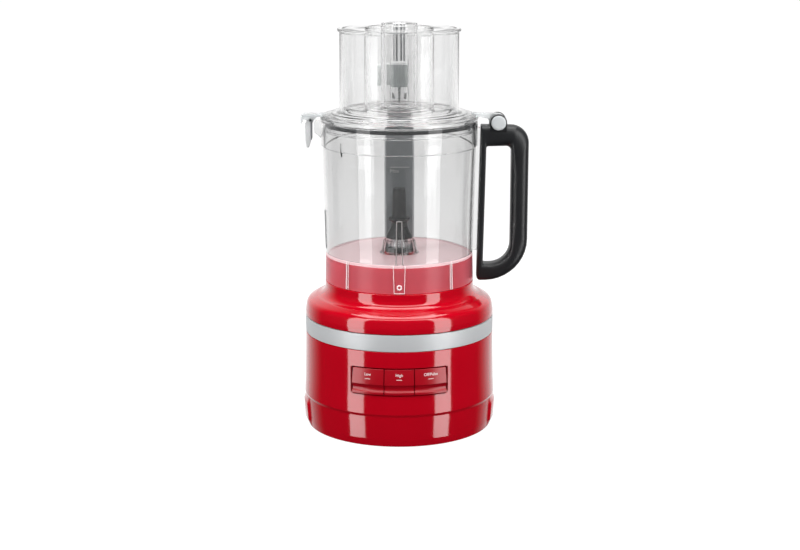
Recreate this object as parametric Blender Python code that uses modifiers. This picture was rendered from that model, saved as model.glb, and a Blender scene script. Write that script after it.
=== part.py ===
"""Food processor: a belt-driven base, a twist-on bowl and a hinged lid with nested pushers.

Metres, +Z up, the table at Z = 0 and the controls facing -Y. Every piece is its own closed
solid, built about the processor's own upright axis; the root empty then moves that axis to
AXIS_X, so that the handle and the latch stand the same distance from the origin.
"""

import math

import bmesh
import bpy
from mathutils import Matrix, Vector

MM = 0.001

# Whole object
AXIS_X = -17.1 * MM
GAP = 0.4 * MM
WALL = 2.5 * MM
ROUND_LARGE = 64
ROUND_MEDIUM = 40
ROUND_SMALL = 20

# Base shell
BASE_BOTTOM_Z = 1.0 * MM
BASE_BOTTOM_R = 104.0 * MM
RIDGE_Z = 37.0 * MM
RIDGE_R = 107.3 * MM
LOWER_TOP_Z = 107.7 * MM
LOWER_TOP_R = 105.5 * MM
BAND_HEIGHT = 19.0 * MM
BAND_THICK = 2.5 * MM
GRIP_R = 109.0 * MM
GRIP_HALF = 36.0 * MM
SHOULDER_Z = 149.4 * MM
NECK_R = 82.9 * MM
NECK_TOP_Z = 165.7 * MM
BOSS_R = 70.5 * MM
BOSS_TOP_Z = 190.0 * MM
PLATE_Z = 3.8 * MM
PLATE_THICK = 2.4 * MM
FOOT_R = 10.0 * MM
FOOT_CENTRE = 60.0 * MM
FOOT_HEIGHT = 3.4 * MM
CHASSIS_THICK = 3.0 * MM

# Controls
PANEL_HALF_ANGLE = math.radians(30.0)
PANEL_LOW_Z = 59.0 * MM
PANEL_HIGH_Z = 90.0 * MM
BUTTON_FACE_R = 106.6 * MM
BUTTON_BACK_R = 101.0 * MM
BUTTON_SPLIT = math.radians(8.7)
BUTTON_SPLIT_GAP = 0.7 * MM
BUTTON_END = math.radians(27.3)
BUTTON_SIDE_X = 33.0 * MM
BUTTON_TRAVEL = 2.5 * MM
BUTTON_STEM_R = 3.0 * MM
BUTTON_STEM_END_Y = -90.0 * MM
TRAY_R = 97.0 * MM

# Drive
MOTOR_R = 33.0 * MM
MOTOR_LOW_Z = 22.0 * MM
SHAFT_R = 4.0 * MM
MOTOR_PULLEY_R = 8.0 * MM
SPINDLE_PULLEY_R = 38.0 * MM
PULLEY_Z = 111.0 * MM
PULLEY_HEIGHT = 11.0 * MM
BELT_THICK = 1.5 * MM
SPINDLE_R = 5.0 * MM
SPINDLE_HEAD_R = 11.5 * MM
SPINDLE_HEAD_Z = 193.0 * MM
SPINDLE_TOP_Z = 212.4 * MM
SPINDLE_TIP_R = 6.0 * MM
SPINDLE_TIP_Z = 226.0 * MM
BEARING_R = 12.6 * MM
BEARING_HEIGHT = 7.0 * MM
MOTOR_CLEARANCE = 6.4 * MM
MOTOR_Y = MOTOR_R + BEARING_R + MOTOR_CLEARANCE

# Bowl
SKIRT_LOW_Z = 166.3 * MM
SKIRT_R = 82.8 * MM
FLOOR_Z = 198.0 * MM
BOWL_LOW_R = 82.0 * MM
BOWL_STEP_R = 84.9 * MM
BOWL_STEP_Z = 317.7 * MM
BOWL_RIM_R = 86.6 * MM
BOWL_RIM_Z = 345.0 * MM
BOWL_MOUTH_R = 82.6 * MM
HUB_SEAL_PLAY = 0.8 * MM
HUB_SEAL_THICK = 3.5 * MM
HUB_TOP_R = SPINDLE_HEAD_R + 5.7 * MM
HUB_LOW_R = HUB_TOP_R + 2.8 * MM
HUB_TOP_Z = SPINDLE_TOP_Z - 0.8 * MM
RIB_OUT_X = 88.8 * MM
RIB_HALF = 7.0 * MM
CHANNEL_HALF = 16.9 * MM
CHANNEL_R = 95.0 * MM
ROD_Y = 91.0 * MM
ROD_R = 1.8 * MM
ROD_TRAVEL = 3.0 * MM

# Handle and hinge
HANDLE_BAR_X = 89.9 * MM
HANDLE_OUT_X = 143.2 * MM
HANDLE_LOW_Z = 165.0 * MM
HANDLE_TOP_Z = 339.5 * MM
HANDLE_HALF = 12.5 * MM
GRIP_THICK = 19.8 * MM
HOLE_LEFT_X = 96.6 * MM
HOLE_LOW_Z = 184.0 * MM
HOLE_TOP_Z = 316.0 * MM
HINGE_X = 108.9 * MM
HINGE_Z = 342.7 * MM
CHEEK_R = 10.1 * MM
KNUCKLE_R = 8.4 * MM
KNUCKLE_HALF = 5.8 * MM
PIN_R = 2.8 * MM
CAP_R = 8.2 * MM

# Lid
LID_TOP_Z = 352.7 * MM
LID_RIM_R = 87.0 * MM
PLUG_R = 81.9 * MM
PLUG_LOW_Z = 333.0 * MM
SEAL_R = 82.2 * MM
SEAL_LOW_Z = 335.5 * MM
SEAL_TOP_Z = 343.1 * MM
TUBE_R = 65.5 * MM
TUBE_WALL = 1.7 * MM
TUBE_TOP_Z = 441.0 * MM
LATCH_X = -97.5 * MM
LATCH_Z = 345.4 * MM
LATCH_OUT_X = -105.2 * MM
LATCH_LOW_Z = 314.4 * MM
LEVER_HALF = 5.8 * MM
TOWER_HALF = 15.5 * MM
TOWER_BACK_Y = 96.5 * MM
TOWER_TOP_Z = 396.0 * MM
PLUNGER_LOW_Z = 370.0 * MM
PLUNGER_TOP_Z = 394.0 * MM
PLUNGER_TRAVEL = 3.0 * MM

# Pushers
FLANGE_R = 67.8 * MM
FLANGE_Z = 442.0 * MM
FLANGE_TOP_Z = 445.0 * MM
PUSHER_LOW_Z = 352.5 * MM
PUSHER_LOW_R = 60.5 * MM
MEDIUM_R = 35.8 * MM
SMALL_R = 18.0 * MM
TOP_Z = 450.5 * MM


def clear_scene():
    """Remove whatever the file already holds."""
    for thing in list(bpy.data.objects):
        bpy.data.objects.remove(thing, do_unlink=True)
    for group in list(bpy.data.collections):
        bpy.data.collections.remove(group)


def new_group(name):
    """Make a collection under the scene."""
    group = bpy.data.collections.new(name)
    bpy.context.scene.collection.children.link(group)
    return group


def new_finish(name, colour, roughness=0.4, metallic=0.0, clear=0.0):
    """Make a plain Principled material."""
    finish = bpy.data.materials.new(name)
    finish.use_nodes = True
    shader = finish.node_tree.nodes["Principled BSDF"]
    shader.inputs["Base Color"].default_value = (*colour, 1.0)
    shader.inputs["Roughness"].default_value = roughness
    shader.inputs["Metallic"].default_value = metallic
    shader.inputs["Transmission Weight"].default_value = clear
    finish.diffuse_color = (*colour, 1.0)
    return finish


class Shop:
    """Holds the collections and makes the pieces in them."""

    def __init__(self):
        self.parts = new_group("food_processor")
        self.tools = new_group("cutters")
        self.tools.hide_render = True
        self.root = self.empty("processor_axis", Vector((0.0, 0.0, 0.0)))
        self.root.location.x = AXIS_X
        self.finishes = {}

    def empty(self, name, place):
        """Make an empty on a joint's axis."""
        marker = bpy.data.objects.new(name, None)
        marker.empty_display_size = 0.01
        self.parts.objects.link(marker)
        marker.location = place
        return marker

    def joint(self, name, place, parent=None):
        """Make the empty of a joint, carried by another joint's empty or by the root."""
        marker = self.empty(name, place)
        self.carry(marker, parent)
        return marker

    def carry(self, piece, parent=None):
        """Parent a piece without moving it from its place about the processor's axis."""
        parent = parent or self.root
        bpy.context.view_layer.update()
        piece.parent = parent
        at = parent.matrix_world.translation - Vector((AXIS_X, 0.0, 0.0))
        piece.matrix_parent_inverse = Matrix.Translation(-at)

    def finish(self, piece, colour, roughness=0.4, metallic=0.0, clear=0.0):
        """Give a piece its own material."""
        piece.data.materials.clear()
        made = new_finish(piece.name + "_finish", colour, roughness, metallic, clear)
        piece.data.materials.append(made)
        return piece

    def place(self, name, bm, tool):
        """Turn a bmesh into an object among the parts or among the cutters."""
        mesh = bpy.data.meshes.new(name)
        bm.to_mesh(mesh)
        bm.free()
        piece = bpy.data.objects.new(name, mesh)
        group = self.tools if tool else self.parts
        group.objects.link(piece)
        if tool:
            piece.hide_render = True
            piece.display_type = "WIRE"
            self.carry(piece)
        return piece

    def turned(self, name, profile, steps, centre=(0.0, 0.0), tool=False):
        """Turn a profile of (radius, height) about an upright axis.

        The profile runs down the outer side first. It is closed on itself unless both of
        its ends lie on the axis.
        """
        bm = bmesh.new()
        points = [bm.verts.new((r, 0.0, z)) for r, z in profile]
        for first, second in zip(points, points[1:]):
            bm.edges.new((first, second))
        if profile[0][0] > 0.0 or profile[-1][0] > 0.0:
            bm.edges.new((points[-1], points[0]))
        piece = self.place(name, bm, tool)
        piece.location = (centre[0], centre[1], 0.0)
        screw = piece.modifiers.new("Turned", "SCREW")
        screw.steps = steps
        screw.render_steps = steps
        screw.use_merge_vertices = True
        screw.merge_threshold = 0.000001
        screw.use_normal_calculate = False
        screw.use_smooth_shade = False
        return piece

    def block(self, name, low, high, tool=False):
        """Make a box from its lowest to its highest corner."""
        low = Vector(low)
        high = Vector(high)
        size = Matrix.Diagonal((*(high - low), 1.0))
        bm = bmesh.new()
        bmesh.ops.create_cube(bm, size=1.0, matrix=Matrix.Translation((low + high) / 2) @ size)
        return self.place(name, bm, tool)

    def bar(self, name, start, end, radius, steps=ROUND_SMALL, tool=False):
        """Make a round bar between two points."""
        start = Vector(start)
        end = Vector(end)
        along = end - start
        turn = along.to_track_quat("Z", "Y").to_matrix().to_4x4()
        where = Matrix.Translation((start + end) / 2) @ turn
        bm = bmesh.new()
        bmesh.ops.create_cone(
            bm,
            cap_ends=True,
            segments=steps,
            radius1=radius,
            radius2=radius,
            depth=along.length,
            matrix=where,
        )
        return self.place(name, bm, tool)

    def side_slab(self, name, outline, front, back, tool=False):
        """Thicken an outline of (x, z), counter-clockwise from the front, along Y."""
        bm = bmesh.new()
        bm.faces.new([bm.verts.new((x, front, z)) for x, z in outline])
        piece = self.place(name, bm, tool)
        return self.thicken(piece, back - front)

    def flat_slab(self, name, outline, low, high, tool=False):
        """Thicken an outline of (x, y), counter-clockwise from above, along Z."""
        bm = bmesh.new()
        bm.faces.new([bm.verts.new((x, y, high)) for x, y in outline])
        piece = self.place(name, bm, tool)
        return self.thicken(piece, high - low)

    def thicken(self, piece, depth):
        """Give a flat face its depth, behind the side it faces."""
        solid = piece.modifiers.new("Thickness", "SOLIDIFY")
        solid.thickness = depth
        solid.offset = -1.0
        return piece

    def coil(self, name, y, radius, wire, low, high, turns=5, per_turn=10):
        """Wind a spring about an upright line at x = 0, as a closed mesh."""
        curve = bpy.data.curves.new(name, "CURVE")
        curve.dimensions = "3D"
        curve.bevel_depth = wire
        curve.bevel_resolution = 1
        curve.use_fill_caps = True
        line = curve.splines.new("POLY")
        count = turns * per_turn
        line.points.add(count)
        for i in range(count + 1):
            angle = math.tau * i / per_turn
            z = low + (high - low) * i / count
            spot = (radius * math.cos(angle), y + radius * math.sin(angle), z, 1.0)
            line.points[i].co = spot
        wound = bpy.data.objects.new(name + "_path", curve)
        self.tools.objects.link(wound)
        bpy.context.view_layer.update()
        graph = bpy.context.evaluated_depsgraph_get()
        mesh = bpy.data.meshes.new_from_object(wound.evaluated_get(graph))
        bpy.data.objects.remove(wound, do_unlink=True)
        bm = bmesh.new()
        bm.from_mesh(mesh)
        bmesh.ops.remove_doubles(bm, verts=bm.verts, dist=0.000001)
        return self.place(name, bm, False)

    def boolean(self, piece, tool, operation):
        """Combine a piece with a cutter."""
        step = piece.modifiers.new(operation.title(), "BOOLEAN")
        step.operation = operation
        step.solver = "EXACT"
        step.object = tool
        return piece

    def cut(self, piece, tool):
        """Take a cutter away from a piece."""
        return self.boolean(piece, tool, "DIFFERENCE")

    def add(self, piece, tool):
        """Join a cutter's body to a piece."""
        return self.boolean(piece, tool, "UNION")

    def keep(self, piece, tool):
        """Keep only what lies inside a cutter."""
        return self.boolean(piece, tool, "INTERSECT")

    def round_edges(self, piece, width, segments=2, limit=math.radians(40.0)):
        """Round a piece's sharp edges."""
        bevel = piece.modifiers.new("Rounded", "BEVEL")
        bevel.width = width
        bevel.segments = segments
        bevel.limit_method = "ANGLE"
        bevel.angle_limit = limit
        return piece


def arc(centre, radius, start, end, steps):
    """List the points of an arc, angles in degrees."""
    points = []
    for i in range(steps + 1):
        angle = math.radians(start + (end - start) * i / steps)
        points.append((centre[0] + radius * math.cos(angle), centre[1] + radius * math.sin(angle)))
    return points


def wedge(half_angle, reach, facing=-1.0):
    """Outline a sector from the axis toward -Y (facing -1) or +Y (facing +1)."""
    side = reach * math.tan(half_angle)
    if facing < 0.0:
        return [(0.0, 0.0), (-side, -reach), (side, -reach)]
    return [(0.0, 0.0), (side, reach), (-side, reach)]


def lower_housing(shop):
    """Lower body shell with its ridge, grip pads, button opening and cord hole."""
    step_z = LOWER_TOP_Z - WALL
    spigot_r = LOWER_TOP_R - BAND_THICK - GAP
    profile = [
        (spigot_r, LOWER_TOP_Z + BAND_HEIGHT),
        (spigot_r, LOWER_TOP_Z),
        (LOWER_TOP_R, LOWER_TOP_Z),
        (LOWER_TOP_R + 0.2 * MM, 93.0 * MM),
        (LOWER_TOP_R + 0.8 * MM, 62.0 * MM),
        (RIDGE_R - 0.3 * MM, RIDGE_Z + 6.0 * MM),
        (RIDGE_R, RIDGE_Z),
        (RIDGE_R - 0.9 * MM, RIDGE_Z - 4.0 * MM),
        (BASE_BOTTOM_R + 1.0 * MM, 10.0 * MM),
        (BASE_BOTTOM_R, BASE_BOTTOM_Z + 1.0 * MM),
        (BASE_BOTTOM_R - 0.8 * MM, BASE_BOTTOM_Z),
        (BASE_BOTTOM_R - WALL, BASE_BOTTOM_Z),
        (RIDGE_R - WALL, RIDGE_Z - 4.0 * MM),
        (LOWER_TOP_R - WALL, step_z),
        (spigot_r - WALL, step_z),
        (spigot_r - WALL, LOWER_TOP_Z + BAND_HEIGHT),
    ]
    shell = shop.turned("lower_housing", profile, ROUND_LARGE)
    ring = [
        (GRIP_R - 1.5 * MM, 32.0 * MM),
        (GRIP_R, 27.0 * MM),
        (GRIP_R, 12.0 * MM),
        (BASE_BOTTOM_R + 1.0 * MM, 4.0 * MM),
        (BASE_BOTTOM_R - 0.5 * WALL, 4.0 * MM),
        (BASE_BOTTOM_R + 1.0 * MM, 32.0 * MM),
    ]
    pads = shop.turned("grip_pads", ring, ROUND_LARGE, tool=True)
    reach = GRIP_R + 10.0 * MM
    band = shop.block(
        "grip_band", (-reach, -GRIP_HALF, 0.0), (reach, GRIP_HALF, RIDGE_Z), tool=True
    )
    shop.keep(pads, band)
    shop.add(shell, pads)
    opening = shop.flat_slab(
        "panel_opening",
        wedge(PANEL_HALF_ANGLE, LOWER_TOP_R + 20.0 * MM),
        PANEL_LOW_Z,
        PANEL_HIGH_Z,
        tool=True,
    )
    shop.cut(shell, opening)
    hole = shop.bar(
        "cord_hole",
        (0.0, RIDGE_R - 20.0 * MM, 20.0 * MM),
        (0.0, RIDGE_R + 20.0 * MM, 20.0 * MM),
        6.5 * MM,
        tool=True,
    )
    shop.cut(shell, hole)
    shop.finish(shell, (0.50, 0.0, 0.008), 0.12)
    shop.carry(shell)


def trim_band(shop):
    """Plain satin band between the lower and the upper housing."""
    low = LOWER_TOP_Z + GAP
    high = LOWER_TOP_Z + BAND_HEIGHT - GAP
    inner = LOWER_TOP_R - BAND_THICK
    profile = [(LOWER_TOP_R, high), (LOWER_TOP_R, low), (inner, low), (inner, high)]
    band = shop.turned("trim_band", profile, ROUND_LARGE)
    shop.finish(band, (0.42, 0.43, 0.45), 0.35, metallic=1.0)
    shop.carry(band)


def upper_housing(shop):
    """Upper shell: shoulder, neck and the boss that the bowl drops over."""
    low = LOWER_TOP_Z + BAND_HEIGHT + GAP
    hole = BEARING_R + GAP
    tube = hole + WALL
    profile = [
        (hole, BOSS_TOP_Z),
        (BOSS_R - 2.0 * MM, BOSS_TOP_Z),
        (BOSS_R, BOSS_TOP_Z - 2.0 * MM),
        (BOSS_R, NECK_TOP_Z),
        (NECK_R - 1.0 * MM, NECK_TOP_Z),
        (NECK_R, NECK_TOP_Z - 1.0 * MM),
        (NECK_R, SHOULDER_Z + 4.0 * MM),
        (NECK_R + 1.2 * MM, SHOULDER_Z + 1.4 * MM),
        (NECK_R + 5.0 * MM, SHOULDER_Z + 0.5 * MM),
        (NECK_R + 10.8 * MM, SHOULDER_Z - 0.4 * MM),
        (98.4 * MM, 146.2 * MM),
        (101.6 * MM, 142.0 * MM),
        (104.0 * MM, 136.5 * MM),
        (LOWER_TOP_R - 0.5 * MM, 131.0 * MM),
        (LOWER_TOP_R, low),
        (LOWER_TOP_R - WALL, low),
        (101.6 * MM, 136.5 * MM),
        (97.8 * MM, 142.0 * MM),
        (NECK_R + 5.0 * MM, SHOULDER_Z - WALL),
        (NECK_R - WALL, SHOULDER_Z - 1.0 * MM),
        (NECK_R - WALL, NECK_TOP_Z - WALL),
        (BOSS_R - WALL, NECK_TOP_Z - WALL),
        (BOSS_R - WALL, BOSS_TOP_Z - WALL),
        (tube, BOSS_TOP_Z - WALL),
        (tube, BOSS_TOP_Z - 18.0 * MM),
        (hole, BOSS_TOP_Z - 18.0 * MM),
    ]
    shell = shop.turned("upper_housing", profile, ROUND_LARGE)
    slot = shop.bar(
        "switch_hole",
        (0.0, ROD_Y, SHOULDER_Z - 10.0 * MM),
        (0.0, ROD_Y, SHOULDER_Z + 10.0 * MM),
        3.0 * MM,
        tool=True,
    )
    shop.cut(shell, slot)
    shop.finish(shell, (0.55, 0.0, 0.01), 0.12)
    shop.carry(shell)


def underside(shop):
    """Bottom plate with its four feet."""
    top = PLATE_Z + PLATE_THICK
    plate_r = BASE_BOTTOM_R - WALL - 1.5 * GAP
    stem = 4.0 * MM
    profile = [(0.0, top), (plate_r, top), (plate_r, PLATE_Z), (0.0, PLATE_Z)]
    plate = shop.turned("bottom_plate", profile, ROUND_LARGE)
    for i in range(5):
        y = MOTOR_Y - 20.0 * MM + 10.0 * MM * i
        vent = shop.block(
            "vent_" + str(i),
            (-22.0 * MM, y - 1.5 * MM, PLATE_Z - 1.0 * MM),
            (22.0 * MM, y + 1.5 * MM, top + 1.0 * MM),
            tool=True,
        )
        shop.cut(plate, vent)
    shop.finish(plate, (0.02, 0.02, 0.02), 0.6)
    shop.carry(plate)
    corners = {
        "foot_front_left": (-FOOT_CENTRE, -FOOT_CENTRE),
        "foot_front_right": (FOOT_CENTRE, -FOOT_CENTRE),
        "foot_rear_left": (-FOOT_CENTRE, FOOT_CENTRE),
        "foot_rear_right": (FOOT_CENTRE, FOOT_CENTRE),
    }
    for name, (x, y) in corners.items():
        bore = shop.bar(
            name + "_bore",
            (x, y, PLATE_Z - 1.0 * MM),
            (x, y, top + 1.0 * MM),
            stem + GAP,
            tool=True,
        )
        shop.cut(plate, bore)
        shape = [
            (0.0, top + 2.0 * MM),
            (stem, top + 2.0 * MM),
            (stem, FOOT_HEIGHT),
            (FOOT_R, FOOT_HEIGHT),
            (FOOT_R, 0.8 * MM),
            (FOOT_R - 0.8 * MM, 0.0),
            (0.0, 0.0),
        ]
        foot = shop.turned(name, shape, ROUND_SMALL, centre=(x, y))
        shop.finish(foot, (0.03, 0.03, 0.03), 0.8)
        shop.carry(foot)


def button_shape():
    """Profile of a button: slanted label face, scoop and lower lip."""
    low = PANEL_LOW_Z + 1.0 * MM
    high = PANEL_HIGH_Z - 1.4 * MM
    return [
        (BUTTON_FACE_R - 0.8 * MM, high),
        (BUTTON_FACE_R + 1.6 * MM, low + 11.5 * MM),
        (BUTTON_FACE_R + 0.9 * MM, low + 10.0 * MM),
        (BUTTON_FACE_R - 0.8 * MM, low + 7.5 * MM),
        (BUTTON_FACE_R - 0.6 * MM, low + 5.0 * MM),
        (BUTTON_FACE_R + 1.9 * MM, low + 3.2 * MM),
        (BUTTON_FACE_R + 1.9 * MM, low + 0.8 * MM),
        (BUTTON_FACE_R + 1.0 * MM, low),
        (BUTTON_BACK_R, low),
        (BUTTON_BACK_R, high),
    ]


def sector(start, end, reach):
    """Outline a sector of plan between two angles measured from -Y toward +X."""
    points = [(0.0, 0.0)]
    for angle in (start, 0.5 * (start + end), end):
        points.append((reach * math.sin(angle), -reach * math.cos(angle)))
    return points


def controls(shop):
    """Button tray, the three push buttons, the board and its switches."""
    mid_z = 0.5 * (PANEL_LOW_Z + PANEL_HIGH_Z)
    lip_r = LOWER_TOP_R - WALL - GAP
    profile = [
        (lip_r, PANEL_HIGH_Z + 4.0 * MM),
        (lip_r, PANEL_HIGH_Z + 2.0 * MM),
        (TRAY_R, PANEL_HIGH_Z + 2.0 * MM),
        (TRAY_R, PANEL_LOW_Z - 2.0 * MM),
        (lip_r, PANEL_LOW_Z - 2.0 * MM),
        (lip_r, PANEL_LOW_Z - 4.0 * MM),
        (TRAY_R - WALL, PANEL_LOW_Z - 4.0 * MM),
        (TRAY_R - WALL, PANEL_HIGH_Z + 4.0 * MM),
    ]
    tray = shop.turned("button_tray", profile, ROUND_LARGE)
    span = sector(-PANEL_HALF_ANGLE, PANEL_HALF_ANGLE, TRAY_R + 30.0 * MM)
    keeper = shop.flat_slab("tray_sector", span, 0.0, BASE_BOTTOM_R, tool=True)
    shop.keep(tray, keeper)
    board_y = BUTTON_STEM_END_Y + BUTTON_TRAVEL + 5.0 * MM
    edge = math.asin(BUTTON_SPLIT_GAP / BUTTON_FACE_R)
    spans = {
        "button_low": (-BUTTON_END, -BUTTON_SPLIT - edge, -BUTTON_SIDE_X),
        "button_high": (-BUTTON_SPLIT, BUTTON_SPLIT, 0.0),
        "button_off_pulse": (BUTTON_SPLIT + edge, BUTTON_END, BUTTON_SIDE_X),
    }
    for name, (start, end, x) in spans.items():
        button = shop.turned(name, button_shape(), 2 * ROUND_LARGE)
        area = sector(start, end, BUTTON_FACE_R + 30.0 * MM)
        limit = shop.flat_slab(name + "_sector", area, 0.0, BASE_BOTTOM_R, tool=True)
        shop.keep(button, limit)
        root_y = -math.sqrt((BUTTON_BACK_R + 1.5 * MM) ** 2 - x**2)
        stem = shop.bar(
            name + "_stem",
            (x, root_y, mid_z),
            (x, BUTTON_STEM_END_Y + abs(x) / 4.0, mid_z),
            BUTTON_STEM_R,
            steps=12,
            tool=True,
        )
        shop.add(button, stem)
        shop.finish(button, (0.30, 0.0, 0.006), 0.25)
        marker = shop.joint(name + "_push", (x, -BUTTON_FACE_R, mid_z))
        shop.carry(button, marker)
        bore = shop.bar(
            name + "_bore",
            (x, -TRAY_R - 10.0 * MM, mid_z),
            (x, -TRAY_R + 30.0 * MM, mid_z),
            BUTTON_STEM_R + GAP,
            steps=12,
            tool=True,
        )
        shop.cut(tray, bore)
        front = BUTTON_STEM_END_Y + abs(x) / 4.0 + BUTTON_TRAVEL + GAP
        switch = shop.block(
            name.replace("button", "switch"),
            (x - 3.5 * MM, front, mid_z - 3.5 * MM),
            (x + 3.5 * MM, board_y + 8.0 * MM, mid_z + 3.5 * MM),
        )
        shop.finish(switch, (0.02, 0.02, 0.02), 0.5)
        shop.carry(switch)
    shop.finish(tray, (0.10, 0.0, 0.004), 0.4)
    shop.carry(tray)
    board = shop.block(
        "control_board",
        (-47.0 * MM, board_y + 8.0 * MM + GAP, PANEL_LOW_Z - 8.0 * MM),
        (47.0 * MM, board_y + 9.6 * MM + GAP, PANEL_HIGH_Z + 6.0 * MM),
    )
    shop.finish(board, (0.01, 0.10, 0.03), 0.5)
    shop.carry(board)


def drive(shop):
    """Chassis plate, motor, belt drive, spindle, bearings and the shaft seal."""
    top = LOWER_TOP_Z - WALL - GAP
    bore = BEARING_R + GAP
    plate_r = LOWER_TOP_R - WALL - 1.5 * GAP
    profile = [(plate_r, top), (plate_r, top - CHASSIS_THICK), (bore, top - CHASSIS_THICK)]
    chassis = shop.turned("chassis_plate", profile + [(bore, top)], ROUND_LARGE)
    shaft_bore = shop.bar(
        "motor_bore",
        (0.0, MOTOR_Y, top - 20.0 * MM),
        (0.0, MOTOR_Y, top + 20.0 * MM),
        SHAFT_R + 2.0 * MM,
        tool=True,
    )
    shop.cut(chassis, shaft_bore)
    shop.finish(chassis, (0.35, 0.35, 0.36), 0.4, metallic=1.0)
    shop.carry(chassis)

    can_top = top - CHASSIS_THICK - GAP
    can = [
        (MOTOR_R, can_top),
        (MOTOR_R, MOTOR_LOW_Z),
        (MOTOR_R - 2.0 * MM, MOTOR_LOW_Z),
        (MOTOR_R - 2.0 * MM, can_top - 2.0 * MM),
        (SHAFT_R + 2.0 * MM, can_top - 2.0 * MM),
        (SHAFT_R + 2.0 * MM, can_top),
    ]
    motor = shop.turned("motor_can", can, ROUND_MEDIUM, centre=(0.0, MOTOR_Y))
    shop.finish(motor, (0.30, 0.30, 0.31), 0.35, metallic=1.0)
    shop.carry(motor)
    cap_top = MOTOR_LOW_Z - GAP
    cap = [
        (MOTOR_R, cap_top),
        (MOTOR_R, cap_top - 4.0 * MM),
        (SHAFT_R + 1.0 * MM, cap_top - 4.0 * MM),
        (SHAFT_R + 1.0 * MM, cap_top),
    ]
    end_cap = shop.turned("motor_end_cap", cap, ROUND_MEDIUM, centre=(0.0, MOTOR_Y))
    shop.finish(end_cap, (0.05, 0.05, 0.05), 0.5)
    shop.carry(end_cap)
    outer = MOTOR_R - 2.0 * MM - GAP
    stator = [(outer, 80.0 * MM), (outer, 34.0 * MM), (20.0 * MM, 34.0 * MM), (20.0 * MM, 80.0 * MM)]
    coil = shop.turned("motor_stator", stator, ROUND_MEDIUM, centre=(0.0, MOTOR_Y))
    shop.finish(coil, (0.45, 0.20, 0.06), 0.4, metallic=1.0)
    shop.carry(coil)

    motor_axis = shop.joint("motor_spin", (0.0, MOTOR_Y, 0.0))
    pulley_top = PULLEY_Z + PULLEY_HEIGHT
    rotor = [
        (0.0, pulley_top + 1.5 * MM),
        (SHAFT_R, pulley_top + 1.5 * MM),
        (SHAFT_R, 78.0 * MM),
        (18.5 * MM, 78.0 * MM),
        (18.5 * MM, 36.0 * MM),
        (SHAFT_R, 36.0 * MM),
        (SHAFT_R, MOTOR_LOW_Z - 6.0 * MM),
        (0.0, MOTOR_LOW_Z - 6.0 * MM),
    ]
    shaft = shop.turned("motor_rotor", rotor, ROUND_SMALL, centre=(0.0, MOTOR_Y))
    shop.finish(shaft, (0.55, 0.55, 0.56), 0.3, metallic=1.0)
    shop.carry(shaft, motor_axis)
    small = [
        (MOTOR_PULLEY_R, pulley_top),
        (MOTOR_PULLEY_R, PULLEY_Z),
        (SHAFT_R + GAP, PULLEY_Z),
        (SHAFT_R + GAP, pulley_top),
    ]
    driver = shop.turned("motor_pulley", small, ROUND_SMALL, centre=(0.0, MOTOR_Y))
    shop.finish(driver, (0.45, 0.45, 0.46), 0.3, metallic=1.0)
    shop.carry(driver, motor_axis)

    spindle_axis = shop.joint("spindle_spin", (0.0, 0.0, 0.0))
    large = [
        (SPINDLE_PULLEY_R, pulley_top),
        (SPINDLE_PULLEY_R, PULLEY_Z),
        (SPINDLE_R + GAP, PULLEY_Z),
        (SPINDLE_R + GAP, pulley_top),
    ]
    wheel = shop.turned("spindle_pulley", large, ROUND_MEDIUM)
    shop.finish(wheel, (0.04, 0.04, 0.04), 0.5)
    shop.carry(wheel, spindle_axis)
    shape = [
        (0.0, SPINDLE_TIP_Z),
        (SPINDLE_TIP_R, SPINDLE_TIP_Z),
        (SPINDLE_TIP_R, SPINDLE_TOP_Z),
        (SPINDLE_HEAD_R, SPINDLE_TOP_Z),
        (SPINDLE_HEAD_R, SPINDLE_HEAD_Z),
        (SPINDLE_R, SPINDLE_HEAD_Z),
        (SPINDLE_R, top - CHASSIS_THICK - 6.0 * MM),
        (0.0, top - CHASSIS_THICK - 6.0 * MM),
    ]
    spindle = shop.turned("drive_spindle", shape, ROUND_SMALL)
    shop.finish(spindle, (0.62, 0.62, 0.63), 0.25, metallic=1.0)
    shop.carry(spindle, spindle_axis)

    seats = {
        "spindle_lower_bearing": top - CHASSIS_THICK - 2.0 * MM,
        "spindle_upper_bearing": BOSS_TOP_Z - 16.0 * MM,
    }
    for name, low in seats.items():
        high = low + BEARING_HEIGHT
        inner = SPINDLE_R + GAP
        ring = [(BEARING_R, high), (BEARING_R, low), (inner, low), (inner, high)]
        bearing = shop.turned(name, ring, ROUND_SMALL)
        shop.finish(bearing, (0.5, 0.5, 0.5), 0.3, metallic=1.0)
        shop.carry(bearing)
    low = BOSS_TOP_Z - 16.0 * MM + BEARING_HEIGHT + GAP
    ring = [
        (BEARING_R, BOSS_TOP_Z - 1.0 * MM),
        (BEARING_R, low),
        (SPINDLE_R + GAP, low),
        (SPINDLE_R + GAP, BOSS_TOP_Z - 1.0 * MM),
    ]
    seal = shop.turned("shaft_seal", ring, ROUND_SMALL)
    shop.finish(seal, (0.03, 0.03, 0.03), 0.8)
    shop.carry(seal)
    belt(shop)


def belt_outline(grow):
    """Outline the loop round both pulleys, counter-clockwise, grown outward."""
    big = SPINDLE_PULLEY_R + grow
    small = MOTOR_PULLEY_R + grow
    lean = math.degrees(math.asin((big - small) / MOTOR_Y))
    low = arc((0.0, 0.0), big, 180.0 - lean, 360.0 + lean, 30)
    high = arc((0.0, MOTOR_Y), small, lean, 180.0 - lean, 10)
    return low + high


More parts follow.
